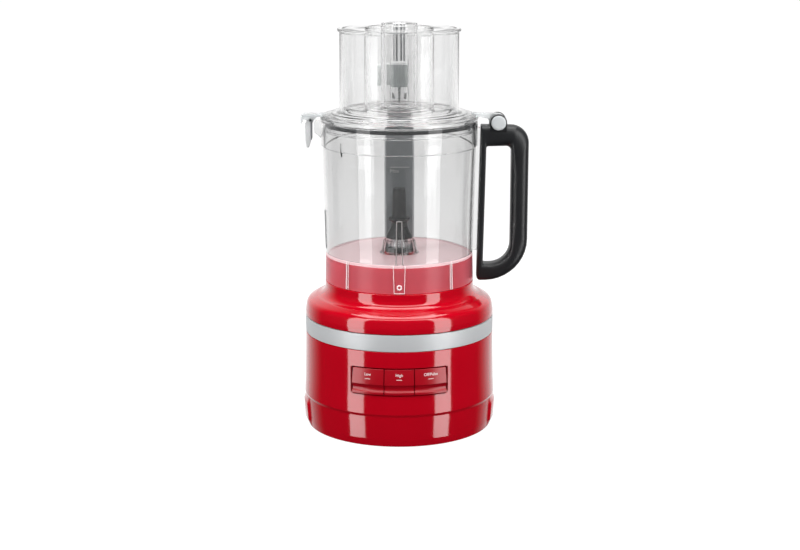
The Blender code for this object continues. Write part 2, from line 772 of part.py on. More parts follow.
def belt(shop):
    """Flat belt round the two pulleys."""
    low = PULLEY_Z + 1.0 * MM
    high = PULLEY_Z + PULLEY_HEIGHT - 1.0 * MM
    inside = 1.5 * GAP
    loop = shop.flat_slab("drive_belt", belt_outline(inside + BELT_THICK), low, high)
    hollow = belt_outline(inside)
    middle = shop.flat_slab("belt_hollow", hollow, low - BELT_THICK, high + BELT_THICK, tool=True)
    shop.cut(loop, middle)
    shop.finish(loop, (0.02, 0.02, 0.02), 0.7)
    shop.carry(loop)


def base_fittings(shop):
    """Bowl switch under the shoulder and the cord gland at the back."""
    switch = shop.block(
        "interlock_switch",
        (-6.0 * MM, ROD_Y - 5.0 * MM, SHOULDER_Z - 26.0 * MM),
        (6.0 * MM, ROD_Y + 4.0 * MM, SHOULDER_Z - 8.0 * MM),
    )
    pin = shop.bar(
        "switch_pin",
        (0.0, ROD_Y, SHOULDER_Z - 10.0 * MM),
        (0.0, ROD_Y, SHOULDER_Z),
        2.4 * MM,
        steps=12,
        tool=True,
    )
    shop.add(switch, pin)
    shop.finish(switch, (0.02, 0.02, 0.02), 0.5)
    shop.carry(switch)
    outer = 6.0 * MM
    near = 101.0 * MM
    far = RIDGE_R + 3.6 * MM
    gland = shop.bar("cord_gland", (0.0, near, 20.0 * MM), (0.0, far, 20.0 * MM), outer)
    flange = shop.bar(
        "gland_flange",
        (0.0, RIDGE_R + 1.0 * MM, 20.0 * MM),
        (0.0, RIDGE_R + 3.0 * MM, 20.0 * MM),
        outer + 2.5 * MM,
        tool=True,
    )
    shop.add(gland, flange)
    bore = shop.bar(
        "gland_bore",
        (0.0, far - 3.0 * MM, 20.0 * MM),
        (0.0, far + 5.0 * MM, 20.0 * MM),
        3.4 * MM,
        steps=12,
        tool=True,
    )
    shop.cut(gland, bore)
    shop.finish(gland, (0.02, 0.02, 0.02), 0.7)
    shop.carry(gland)


def work_bowl(shop, axis):
    """Clear bowl wall with its handle rib and latch catch, and the floor with its hub."""
    floor_low = FLOOR_Z - 3.0 * MM
    low_in = BOWL_LOW_R - WALL
    edge = low_in - GAP
    ground = [
        (edge, floor_low),
        (HUB_LOW_R - 2.0 * MM, floor_low),
        (HUB_TOP_R - 2.0 * MM, HUB_TOP_Z),
        (HUB_TOP_R, HUB_TOP_Z),
        (HUB_LOW_R, FLOOR_Z + 0.8 * MM),
        (HUB_LOW_R + 1.5 * MM, FLOOR_Z),
        (edge, FLOOR_Z),
    ]
    floor = shop.turned("bowl_floor", ground, ROUND_LARGE)
    shop.finish(floor, (0.90, 0.92, 0.93), 0.05, clear=1.0)
    shop.carry(floor, axis)
    profile = [
        (BOWL_RIM_R, BOWL_RIM_Z),
        (BOWL_RIM_R, BOWL_STEP_Z),
        (BOWL_STEP_R, BOWL_STEP_Z - 1.2 * MM),
        (83.5 * MM, 259.0 * MM),
        (82.8 * MM, 225.0 * MM),
        (BOWL_LOW_R, FLOOR_Z),
        (SKIRT_R, SKIRT_LOW_Z),
        (SKIRT_R - WALL, SKIRT_LOW_Z),
        (low_in, FLOOR_Z),
        (83.5 * MM - WALL, 259.0 * MM),
        (BOWL_MOUTH_R, BOWL_STEP_Z),
        (BOWL_MOUTH_R, BOWL_RIM_Z),
    ]
    bowl = shop.turned("work_bowl", profile, ROUND_LARGE)
    low_z = SKIRT_LOW_Z + 10.0 * MM
    top_z = HANDLE_TOP_Z - 3.0 * MM
    rib_line = [
        (SKIRT_R - 1.0 * MM, low_z),
        (bar_x(low_z) - 2.0 * GAP, low_z),
        (bar_x(top_z) - 2.0 * GAP, top_z),
        (BOWL_RIM_R - 2.0 * MM, top_z),
    ]
    rib = shop.side_slab("handle_rib", rib_line, -RIB_HALF, RIB_HALF, tool=True)
    shop.add(bowl, rib)
    catch = shop.block(
        "latch_catch",
        (-93.6 * MM, -5.5 * MM, 325.0 * MM),
        (-85.0 * MM, 5.5 * MM, 344.0 * MM),
        tool=True,
    )
    shop.add(bowl, catch)
    for name, z in screw_heights().items():
        hole = shop.bar(
            name + "_socket",
            (bar_x(z) - 5.0 * MM, 0.0, z),
            (bar_x(z) + 5.0 * MM, 0.0, z),
            1.8 * MM + GAP,
            steps=12,
            tool=True,
        )
        shop.cut(bowl, hole)
    shop.finish(bowl, (0.90, 0.92, 0.93), 0.05, clear=1.0)
    shop.carry(bowl, axis)


def bar_x(z):
    """X of the handle's bowl-side face at a height, leaning with the bowl's draft."""
    lean = 3.5 * MM / (HANDLE_TOP_Z - HANDLE_LOW_Z)
    return HANDLE_BAR_X - lean * (HANDLE_TOP_Z - z)


def screw_heights():
    """Heights of the two screws that hold the handle."""
    return {
        "handle_screw_low": HOLE_LOW_Z + 12.0 * MM,
        "handle_screw_high": HOLE_TOP_Z - 12.0 * MM,
    }


def bowl_handle(shop, axis):
    """Looped handle with the hinge cheeks on top, its screws, pin and caps."""
    top = HANDLE_TOP_Z
    low_r = 46.0 * MM
    top_r = 20.0 * MM
    outline = [(bar_x(top), top), (bar_x(HANDLE_LOW_Z + 4.0 * MM), HANDLE_LOW_Z + 4.0 * MM)]
    outline.append((bar_x(HANDLE_LOW_Z) + 4.0 * MM, HANDLE_LOW_Z))
    outline += arc((HANDLE_OUT_X - low_r, HANDLE_LOW_Z + low_r), low_r, 270.0, 360.0, 10)
    outline += arc((HANDLE_OUT_X - top_r, top - top_r), top_r, 0.0, 90.0, 6)
    handle = shop.side_slab("bowl_handle", outline, -HANDLE_HALF, HANDLE_HALF)
    right = HANDLE_OUT_X - GRIP_THICK
    bar = HOLE_LEFT_X - HANDLE_BAR_X
    turn = 24.0 * MM
    corner = 5.5 * MM
    gap_line = [
        (bar_x(HOLE_TOP_Z) + bar, HOLE_TOP_Z),
        (bar_x(HOLE_LOW_Z) + bar, HOLE_LOW_Z),
    ]
    gap_line += arc((right - turn, HOLE_LOW_Z + turn), turn, 270.0, 360.0, 7)
    gap_line += arc((right - corner, HOLE_TOP_Z - corner), corner, 0.0, 90.0, 3)
    reach = HANDLE_HALF + 10.0 * MM
    finger = shop.side_slab("finger_gap", gap_line, -reach, reach, tool=True)
    shop.cut(handle, finger)
    shop.round_edges(handle, 4.0 * MM)
    cheeks = shop.bar(
        "hinge_cheeks",
        (HINGE_X, -HANDLE_HALF - 0.6 * MM, HINGE_Z),
        (HINGE_X, HANDLE_HALF + 0.6 * MM, HINGE_Z),
        CHEEK_R,
        steps=24,
        tool=True,
    )
    shop.add(handle, cheeks)
    slot = shop.block(
        "knuckle_slot",
        (HINGE_X - 12.0 * MM, -KNUCKLE_HALF - GAP, HINGE_Z - KNUCKLE_R - 1.0 * MM),
        (HINGE_X + 12.0 * MM, KNUCKLE_HALF + GAP, HINGE_Z + 20.0 * MM),
        tool=True,
    )
    shop.cut(handle, slot)
    bore = shop.bar(
        "hinge_bore",
        (HINGE_X, -reach, HINGE_Z),
        (HINGE_X, reach, HINGE_Z),
        PIN_R + GAP,
        steps=16,
        tool=True,
    )
    shop.cut(handle, bore)
    for name, z in screw_heights().items():
        hole = shop.bar(
            name + "_hole",
            (bar_x(z) - 5.0 * MM, 0.0, z),
            (bar_x(z) + bar + 1.0 * MM, 0.0, z),
            1.8 * MM + GAP,
            steps=12,
            tool=True,
        )
        shop.cut(handle, hole)
        screw = shop.bar(
            name,
            (bar_x(z) - 4.5 * MM, 0.0, z),
            (bar_x(z) + bar + 1.5 * MM, 0.0, z),
            1.8 * MM,
            steps=12,
        )
        head = shop.bar(
            name + "_head",
            (bar_x(z) + bar + 0.6 * MM, 0.0, z),
            (bar_x(z) + bar + 2.4 * MM, 0.0, z),
            3.4 * MM,
            steps=12,
            tool=True,
        )
        shop.add(screw, head)
        shop.finish(screw, (0.6, 0.6, 0.6), 0.3, metallic=1.0)
        shop.carry(screw, axis)
    shop.finish(handle, (0.035, 0.035, 0.038), 0.5)
    shop.carry(handle, axis)
    half = HANDLE_HALF + 0.6 * MM
    pin = shop.bar("hinge_pin", (HINGE_X, -half, HINGE_Z), (HINGE_X, half, HINGE_Z), PIN_R, 16)
    shop.finish(pin, (0.6, 0.6, 0.6), 0.3, metallic=1.0)
    shop.carry(pin, axis)
    for name, side in {"hinge_cap_front": -1.0, "hinge_cap_rear": 1.0}.items():
        near = side * (half + GAP)
        far = side * (half + GAP + 1.2 * MM)
        cap = shop.bar(name, (HINGE_X, near, HINGE_Z), (HINGE_X, far, HINGE_Z), CAP_R, 24)
        shop.finish(cap, (0.55, 0.56, 0.57), 0.4)
        shop.carry(cap, axis)


def bowl_interlock(shop, axis):
    """Rear channel outside the bowl's wall and the rod that slides in it."""
    top = 340.0 * MM
    low = SKIRT_LOW_Z + 1.7 * MM
    play = 2.0 * GAP
    profile = [
        (CHANNEL_R, top),
        (CHANNEL_R, low),
        (SKIRT_R + play, low),
        (BOWL_LOW_R + play, FLOOR_Z),
        (82.8 * MM + play, 225.0 * MM),
        (83.5 * MM + play, 259.0 * MM),
        (BOWL_STEP_R + play, BOWL_STEP_Z - 2.4 * MM),
        (BOWL_RIM_R + play, BOWL_STEP_Z - 1.6 * MM),
        (BOWL_RIM_R + play, top),
    ]
    channel = shop.turned("interlock_channel", profile, ROUND_LARGE)
    span = shop.block(
        "channel_span",
        (-CHANNEL_HALF, 0.0, low - 5.0 * MM),
        (CHANNEL_HALF, CHANNEL_R + 5.0 * MM, top + 5.0 * MM),
        tool=True,
    )
    shop.keep(channel, span)
    bore = shop.bar(
        "rod_bore",
        (0.0, ROD_Y, low - 5.0 * MM),
        (0.0, ROD_Y, top + 5.0 * MM),
        ROD_R + 1.5 * GAP,
        steps=12,
        tool=True,
    )
    shop.cut(channel, bore)
    shop.finish(channel, (0.10, 0.10, 0.11), 0.25, clear=0.5)
    shop.carry(channel, axis)
    rod_low = SHOULDER_Z + ROD_TRAVEL + 3.6 * MM
    rod = shop.bar("interlock_rod", (0.0, ROD_Y, rod_low), (0.0, ROD_Y, top - 2.0 * MM), ROD_R, 12)
    shop.finish(rod, (0.75, 0.75, 0.74), 0.4)
    marker = shop.joint("interlock_rod_slide", (0.0, ROD_Y, top), axis)
    shop.carry(rod, marker)


def bowl_drive(shop, lift):
    """Hub seal, which rides the bowl's lift, and the tall drive adapter."""
    low = FLOOR_Z + 1.0 * MM
    high = low + 5.0 * MM
    inner = SPINDLE_HEAD_R + HUB_SEAL_PLAY
    outer = inner + HUB_SEAL_THICK
    ring = [(outer, high), (outer, low), (inner, low), (inner, high)]
    seal = shop.turned("hub_seal", ring, ROUND_SMALL)
    shop.finish(seal, (0.6, 0.6, 0.6), 0.8)
    shop.carry(seal, lift)
    shape = [
        (0.0, 269.5 * MM),
        (6.3 * MM, 269.5 * MM),
        (7.5 * MM, 268.0 * MM),
        (8.5 * MM, 235.6 * MM),
        (12.2 * MM, 235.6 * MM),
        (12.2 * MM, 231.0 * MM),
        (8.6 * MM, 230.4 * MM),
        (HUB_TOP_R - 1.9 * MM, SPINDLE_TOP_Z + 0.8 * MM),
        (SPINDLE_TIP_R + GAP, SPINDLE_TOP_Z + 0.8 * MM),
        (SPINDLE_TIP_R + GAP, SPINDLE_TIP_Z + GAP),
        (0.0, SPINDLE_TIP_Z + GAP),
    ]
    adapter = shop.turned("drive_adapter", shape, ROUND_SMALL)
    shop.finish(adapter, (0.05, 0.05, 0.055), 0.45)
    marker = shop.joint("adapter_spin", (0.0, 0.0, SPINDLE_TOP_Z), lift)
    shop.carry(adapter, marker)


def lid(shop, axis):
    """Clear lid with its feed tube, hinge arm, latch bracket and plunger tower."""
    rim_low = BOWL_RIM_Z + 0.6 * MM
    groove = SEAL_R - 2.8 * MM - GAP
    tube_in = TUBE_R - TUBE_WALL
    plug_in = PLUG_R - 4.9 * MM
    profile = [
        (TUBE_R, TUBE_TOP_Z),
        (TUBE_R, LID_TOP_Z + 4.3 * MM),
        (TUBE_R + 2.0 * MM, LID_TOP_Z + 1.9 * MM),
        (76.0 * MM, LID_TOP_Z + 1.3 * MM),
        (78.0 * MM, LID_TOP_Z),
        (84.6 * MM, LID_TOP_Z - 1.5 * MM),
        (LID_RIM_R, LID_TOP_Z - 4.1 * MM),
        (LID_RIM_R, rim_low),
        (PLUG_R, rim_low),
        (PLUG_R, SEAL_TOP_Z + GAP),
        (groove, SEAL_TOP_Z + GAP),
        (groove, SEAL_LOW_Z - GAP),
        (PLUG_R - GAP, SEAL_LOW_Z - GAP),
        (PLUG_R - GAP, PLUG_LOW_Z),
        (plug_in, PLUG_LOW_Z),
        (plug_in, LID_TOP_Z - 3.4 * MM),
        (tube_in - 0.6 * MM, LID_TOP_Z - 3.4 * MM),
        (tube_in, TUBE_TOP_Z),
    ]
    cover = shop.turned("lid", profile, ROUND_LARGE)
    arm = shop.block(
        "hinge_arm",
        (plug_in - 5.0 * MM, -KNUCKLE_HALF, rim_low + 0.6 * MM),
        (HINGE_X, KNUCKLE_HALF, LID_TOP_Z - 0.3 * MM),
        tool=True,
    )
    shop.add(cover, arm)
    knuckle = shop.bar(
        "hinge_knuckle",
        (HINGE_X, -KNUCKLE_HALF + 0.1 * MM, HINGE_Z),
        (HINGE_X, KNUCKLE_HALF - 0.1 * MM, HINGE_Z),
        KNUCKLE_R,
        steps=24,
        tool=True,
    )
    shop.add(cover, knuckle)
    bore = shop.bar(
        "knuckle_bore",
        (HINGE_X, -20.0 * MM, HINGE_Z),
        (HINGE_X, 20.0 * MM, HINGE_Z),
        PIN_R + GAP,
        steps=16,
        tool=True,
    )
    shop.cut(cover, bore)
    half = LEVER_HALF + 3.2 * MM
    plate = shop.block(
        "latch_plate",
        (LATCH_OUT_X, -half, LID_TOP_Z - 2.5 * MM),
        (-80.0 * MM, half, LID_TOP_Z + 0.2 * MM),
        tool=True,
    )
    shop.add(cover, plate)
    for name, side in {"latch_cheek_front": -1.0, "latch_cheek_rear": 1.0}.items():
        faces = sorted((side * (half - 2.6 * MM), side * half))
        cheek = shop.block(
            name,
            (LATCH_OUT_X, faces[0], 338.5 * MM),
            (-91.0 * MM, faces[1], LID_TOP_Z - 1.0 * MM),
            tool=True,
        )
        shop.add(cover, cheek)
    pin_hole = shop.bar(
        "latch_bore",
        (LATCH_X, -half - 5.0 * MM, LATCH_Z),
        (LATCH_X, half + 5.0 * MM, LATCH_Z),
        1.5 * MM + GAP,
        steps=12,
        tool=True,
    )
    shop.cut(cover, pin_hole)
    tower(shop, cover)
    shop.finish(cover, (0.90, 0.92, 0.93), 0.05, clear=1.0)
    shop.carry(cover, axis)

    ring = [(SEAL_R, SEAL_TOP_Z), (SEAL_R, SEAL_LOW_Z)]
    ring += [(groove + GAP, SEAL_LOW_Z), (groove + GAP, SEAL_TOP_Z)]
    seal = shop.turned("lid_seal", ring, ROUND_LARGE)
    shop.finish(seal, (0.08, 0.08, 0.08), 0.7)
    shop.carry(seal, axis)


def tower(shop, cover):
    """Add the hollow plunger tower behind the feed tube, open at the top."""
    front = TUBE_R - 0.9 * MM
    wall = 2.3 * MM
    body = shop.block(
        "tower_body",
        (-TOWER_HALF, front, LID_TOP_Z - 1.7 * MM),
        (TOWER_HALF, TOWER_BACK_Y, TOWER_TOP_Z),
        tool=True,
    )
    shop.add(cover, body)
    hollow = shop.block(
        "tower_hollow",
        (-TOWER_HALF + wall, front + 2.0 * wall, LID_TOP_Z + 0.6 * MM),
        (TOWER_HALF - wall, TOWER_BACK_Y - wall + 0.4 * MM, TOWER_TOP_Z + 10.0 * MM),
        tool=True,
    )
    shop.cut(cover, hollow)
    side = shop.block(
        "tower_slot",
        (-TOWER_HALF - 5.0 * MM, 77.0 * MM, PLUNGER_LOW_Z + 4.0 * MM),
        (-TOWER_HALF + wall + 1.0 * MM, 86.0 * MM, TOWER_TOP_Z + 10.0 * MM),
        tool=True,
    )
    shop.cut(cover, side)
    leg = shop.bar(
        "leg_bore",
        (0.0, ROD_Y, LID_TOP_Z - 10.0 * MM),
        (0.0, ROD_Y, LID_TOP_Z + 10.0 * MM),
        ROD_R + 1.5 * GAP,
        steps=12,
        tool=True,
    )
    shop.cut(cover, leg)


def lid_plunger(shop, axis):
    """Slider in the tower, its side tab, its leg and the spring under it."""
    wall = 2.3 * MM
    low = PLUNGER_LOW_Z
    half = TOWER_HALF - wall - 1.5 * GAP
    marker = shop.joint("lid_plunger_slide", (0.0, ROD_Y, low), axis)
    slider = shop.block(
        "interlock_plunger",
        (-half, TUBE_R - 0.9 * MM + 2.0 * wall + 2.0 * GAP, low),
        (half, TOWER_BACK_Y - wall - 0.4 * MM, PLUNGER_TOP_Z),
    )
    tab = shop.block(
        "plunger_tab",
        (-TOWER_HALF - 10.5 * MM, 78.0 * MM, low + 9.0 * MM),
        (-half + 2.0 * MM, 85.0 * MM, low + 18.0 * MM),
        tool=True,
    )
    shop.add(slider, tab)
    leg = shop.bar(
        "plunger_leg",
        (0.0, ROD_Y, 342.0 * MM),
        (0.0, ROD_Y, low + 4.0 * MM),
        ROD_R,
        steps=12,
        tool=True,
    )
    shop.add(slider, leg)
    shop.finish(slider, (0.85, 0.85, 0.84), 0.4)
    shop.carry(slider, marker)
    spring = shop.coil(
        "plunger_spring", ROD_Y, 3.0 * MM, 0.45 * MM, LID_TOP_Z + 1.6 * MM, low - 1.0 * MM
    )
    shop.finish(spring, (0.6, 0.6, 0.6), 0.3, metallic=1.0)
    shop.carry(spring, axis)


def latch(shop, lid_axis):
    """Latch lever on its pin, at the side across from the handle."""
    outer = -100.4 * MM
    inner = -97.4 * MM
    outline = [
        (outer, LATCH_Z + 2.0 * MM),
        (outer - 0.8 * MM, LATCH_LOW_Z + 1.6 * MM),
        (outer + 0.2 * MM, LATCH_LOW_Z),
        (inner - 0.6 * MM, LATCH_LOW_Z),
        (inner, 319.5 * MM),
        (inner + 2.8 * MM, 321.0 * MM),
        (inner + 2.8 * MM, 323.4 * MM),
        (inner, 325.5 * MM),
        (inner, LATCH_Z + 2.0 * MM),
    ]
    lever = shop.side_slab("latch_lever", outline, -LEVER_HALF, LEVER_HALF)
    boss = shop.bar(
        "lever_boss",
        (LATCH_X, -LEVER_HALF + 0.1 * MM, LATCH_Z),
        (LATCH_X, LEVER_HALF - 0.1 * MM, LATCH_Z),
        3.5 * MM,
        steps=16,
        tool=True,
    )
    shop.add(lever, boss)
    bore = shop.bar(
        "lever_bore",
        (LATCH_X, -15.0 * MM, LATCH_Z),
        (LATCH_X, 15.0 * MM, LATCH_Z),
        1.5 * MM + GAP,
        steps=12,
        tool=True,
    )
    shop.cut(lever, bore)
    shop.finish(lever, (0.85, 0.87, 0.88), 0.1, clear=0.8)
    marker = shop.joint("latch_swing", (LATCH_X, 0.0, LATCH_Z), lid_axis)
    shop.carry(lever, marker)
    half = LEVER_HALF + 3.6 * MM
    pin = shop.bar("latch_pin", (LATCH_X, -half, LATCH_Z), (LATCH_X, half, LATCH_Z), 1.5 * MM, 12)
    shop.finish(pin, (0.03, 0.03, 0.03), 0.4)
    shop.carry(pin, lid_axis)


def pushers(shop, lid_axis):
    """Large pusher with its rear arm, and the two that nest inside it."""
    outer_top = TUBE_R - TUBE_WALL - 0.6 * MM
    chute = MEDIUM_R + GAP
    shape = [
        (FLANGE_R - 0.6 * MM, FLANGE_TOP_Z),
        (FLANGE_R, FLANGE_TOP_Z - 0.8 * MM),
        (FLANGE_R, FLANGE_Z),
        (outer_top, FLANGE_Z),
        (PUSHER_LOW_R, PUSHER_LOW_Z + 7.0 * MM),
        (PUSHER_LOW_R - 2.0 * MM, PUSHER_LOW_Z + 2.0 * MM),
        (PUSHER_LOW_R - 6.0 * MM, PUSHER_LOW_Z),
        (chute + 4.5 * MM, PUSHER_LOW_Z),
        (chute + 4.5 * MM, PUSHER_LOW_Z + 2.0 * MM),
        (PUSHER_LOW_R - 6.5 * MM, PUSHER_LOW_Z + 2.0 * MM),
        (PUSHER_LOW_R - 2.0 * MM, PUSHER_LOW_Z + 7.0 * MM),
        (outer_top - 2.0 * MM, FLANGE_Z - 0.5 * MM),
        (chute + 2.0 * MM, FLANGE_Z - 0.5 * MM),
        (chute + 2.0 * MM, PUSHER_LOW_Z),
        (chute, PUSHER_LOW_Z),
        (chute, FLANGE_TOP_Z - 1.6 * MM),
        (chute + 1.6 * MM, FLANGE_TOP_Z - 1.6 * MM),
        (chute + 1.6 * MM, FLANGE_TOP_Z),
    ]
    large_axis = shop.joint("large_pusher_slide", (0.0, 0.0, FLANGE_Z), lid_axis)
    large = shop.turned("large_pusher", shape, ROUND_LARGE)
    arm = shop.block(
        "pusher_arm",
        (-10.0 * MM, TUBE_R + 0.8 * MM, TOWER_TOP_Z + 1.5 * MM),
        (10.0 * MM, TUBE_R + 5.5 * MM, FLANGE_TOP_Z - 0.8 * MM),
        tool=True,
    )
    shop.add(large, arm)
    shop.finish(large, (0.90, 0.92, 0.93), 0.06, clear=1.0)
    shop.carry(large, large_axis)

    inner = SMALL_R + GAP
    ledge = FLANGE_TOP_Z - 1.6 * MM + GAP
    body = [
        (MEDIUM_R + 1.6 * MM, FLANGE_TOP_Z + 0.3 * MM),
        (MEDIUM_R + 1.6 * MM, ledge),
        (MEDIUM_R - 0.2 * MM, ledge),
        (MEDIUM_R - 1.0 * MM, PUSHER_LOW_Z + 3.5 * MM),
        (MEDIUM_R - 2.5 * MM, PUSHER_LOW_Z + 1.0 * MM),
        (inner + 3.0 * MM, PUSHER_LOW_Z + 1.0 * MM),
        (inner + 3.0 * MM, PUSHER_LOW_Z + 2.6 * MM),
        (MEDIUM_R - 3.5 * MM, PUSHER_LOW_Z + 2.6 * MM),
        (MEDIUM_R - 2.2 * MM, ledge - 1.0 * MM),
        (inner + 1.6 * MM, ledge - 1.0 * MM),
        (inner + 0.6 * MM, PUSHER_LOW_Z + 1.0 * MM),
        (inner - 1.0 * MM, PUSHER_LOW_Z + 1.0 * MM),
        (inner, FLANGE_TOP_Z + 0.3 * MM),
    ]
    medium_axis = shop.joint("medium_pusher_slide", (0.0, 0.0, FLANGE_Z), large_axis)
    medium = shop.turned("medium_pusher", body, ROUND_MEDIUM)
    shop.finish(medium, (0.90, 0.92, 0.93), 0.06, clear=1.0)
    shop.carry(medium, medium_axis)

    cup = [
        (0.0, TOP_Z),
        (SMALL_R - 1.0 * MM, TOP_Z),
        (SMALL_R, TOP_Z - 1.0 * MM),
        (SMALL_R, FLANGE_TOP_Z - 1.0 * MM),
        (SMALL_R - 1.4 * MM, PUSHER_LOW_Z + 4.0 * MM),
        (SMALL_R - 3.2 * MM, PUSHER_LOW_Z + 4.0 * MM),
        (SMALL_R - 1.8 * MM, TOP_Z - 2.5 * MM),
        (0.0, TOP_Z - 2.5 * MM),
    ]
    small_axis = shop.joint("small_pusher_slide", (0.0, 0.0, TOP_Z), medium_axis)
    small = shop.turned("small_pusher", cup, ROUND_MEDIUM)
    shop.finish(small, (0.90, 0.92, 0.93), 0.06, clear=1.0)
    shop.carry(small, small_axis)


def main():
    """Build the food processor, base first."""
    clear_scene()
    shop = Shop()
    lower_housing(shop)
    trim_band(shop)
    upper_housing(shop)
    underside(shop)
    controls(shop)
    drive(shop)
    base_fittings(shop)
    lift = shop.joint("bowl_lift", (0.0, 0.0, SKIRT_LOW_Z))
    bowl_drive(shop, lift)
    twist = shop.joint("bowl_twist", (0.0, 0.0, SKIRT_LOW_Z), lift)
    work_bowl(shop, twist)
    bowl_handle(shop, twist)
    bowl_interlock(shop, twist)
    hinge = shop.joint("lid_hinge", (HINGE_X, 0.0, HINGE_Z), twist)
    lid(shop, hinge)
    lid_plunger(shop, hinge)
    latch(shop, hinge)
    pushers(shop, hinge)


main()
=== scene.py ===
"""Food processor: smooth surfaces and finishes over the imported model.

Each sub-assembly is a class that holds its sizes in metres and builds its own pieces. Shapes
are computed as whole numpy grids: profiles turned about an upright axis, or outlines carried
along a path. The processor stands on its own axis, a little left of the origin.
"""

import logging
import math
from dataclasses import dataclass, field
from enum import Enum
from typing import Any, Callable, Iterable, Sequence

import bmesh
import bpy
import numpy as np
from mathutils import Matrix, Vector
from numpy.typing import NDArray


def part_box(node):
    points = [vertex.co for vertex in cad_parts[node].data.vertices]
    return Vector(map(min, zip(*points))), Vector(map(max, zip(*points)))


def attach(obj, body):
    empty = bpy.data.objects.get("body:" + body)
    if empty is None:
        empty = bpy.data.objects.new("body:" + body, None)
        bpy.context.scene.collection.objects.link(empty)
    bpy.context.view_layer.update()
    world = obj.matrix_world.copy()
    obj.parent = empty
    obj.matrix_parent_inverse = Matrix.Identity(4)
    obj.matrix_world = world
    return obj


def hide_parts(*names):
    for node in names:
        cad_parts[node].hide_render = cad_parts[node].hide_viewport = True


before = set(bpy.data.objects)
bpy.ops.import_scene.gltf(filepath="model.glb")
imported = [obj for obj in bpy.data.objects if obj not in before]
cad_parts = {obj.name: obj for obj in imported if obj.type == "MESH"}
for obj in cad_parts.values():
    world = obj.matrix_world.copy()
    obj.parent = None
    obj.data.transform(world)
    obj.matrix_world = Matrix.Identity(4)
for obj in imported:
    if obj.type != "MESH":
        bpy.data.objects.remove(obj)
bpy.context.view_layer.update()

LOG = logging.getLogger("food_processor")
MM = 0.001
Grid = NDArray[np.float64]
Point = tuple[float, float]

AXIS_X = (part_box("trim_band")[0].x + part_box("trim_band")[1].x) / 2


class Wrap(Enum):
    """How a grid closes on itself."""

    NONE = "none"
    AROUND = "around"
    BOTH = "both"


# ---------------------------------------------------------------------------
# Colours and shader nodes
# ---------------------------------------------------------------------------


def linear(code: str) -> tuple[float, float, float, float]:
    """Turn an sRGB hex code into a linear colour.

    Args:
        code: Six hex digits, with or without a leading hash.

    Returns:
        Linear red, green and blue, and an alpha of 1. A channel at or under 0.04045 is
        divided by 12.92, and any other is ((c + 0.055) / 1.055) to the power 2.4.
    """
    digits = code.lstrip("#")
    channels = np.array([int(digits[i : i + 2], 16) for i in (0, 2, 4)]) / 255.0
    low = channels / 12.92
    high = ((channels + 0.055) / 1.055) ** 2.4
    red, green, blue = np.where(channels <= 0.04045, low, high).tolist()
    return red, green, blue, 1.0


def add_node(
    tree: bpy.types.NodeTree,
    kind: str,
    settings: dict[str, Any] | None = None,
    inputs: dict[str | int, Any] | None = None,
    links: dict[str | int, bpy.types.NodeSocket] | None = None,
) -> bpy.types.Node:
    """Add one shader node with its settings, constants and links.

    Args:
        tree: Node tree that takes the node.
        kind: Blender's name for the node type.
        settings: Attributes of the node.
        inputs: Constant values by socket name or number.
        links: Sockets to join to the node's inputs, by socket name or number.

    Returns:
        The new node.
    """
    node = tree.nodes.new(kind)
    for key, value in (settings or {}).items():
        setattr(node, key, value)
    for key, value in (inputs or {}).items():
        node.inputs[key].default_value = value
    for key, socket in (links or {}).items():
        tree.links.new(socket, node.inputs[key])
    return node


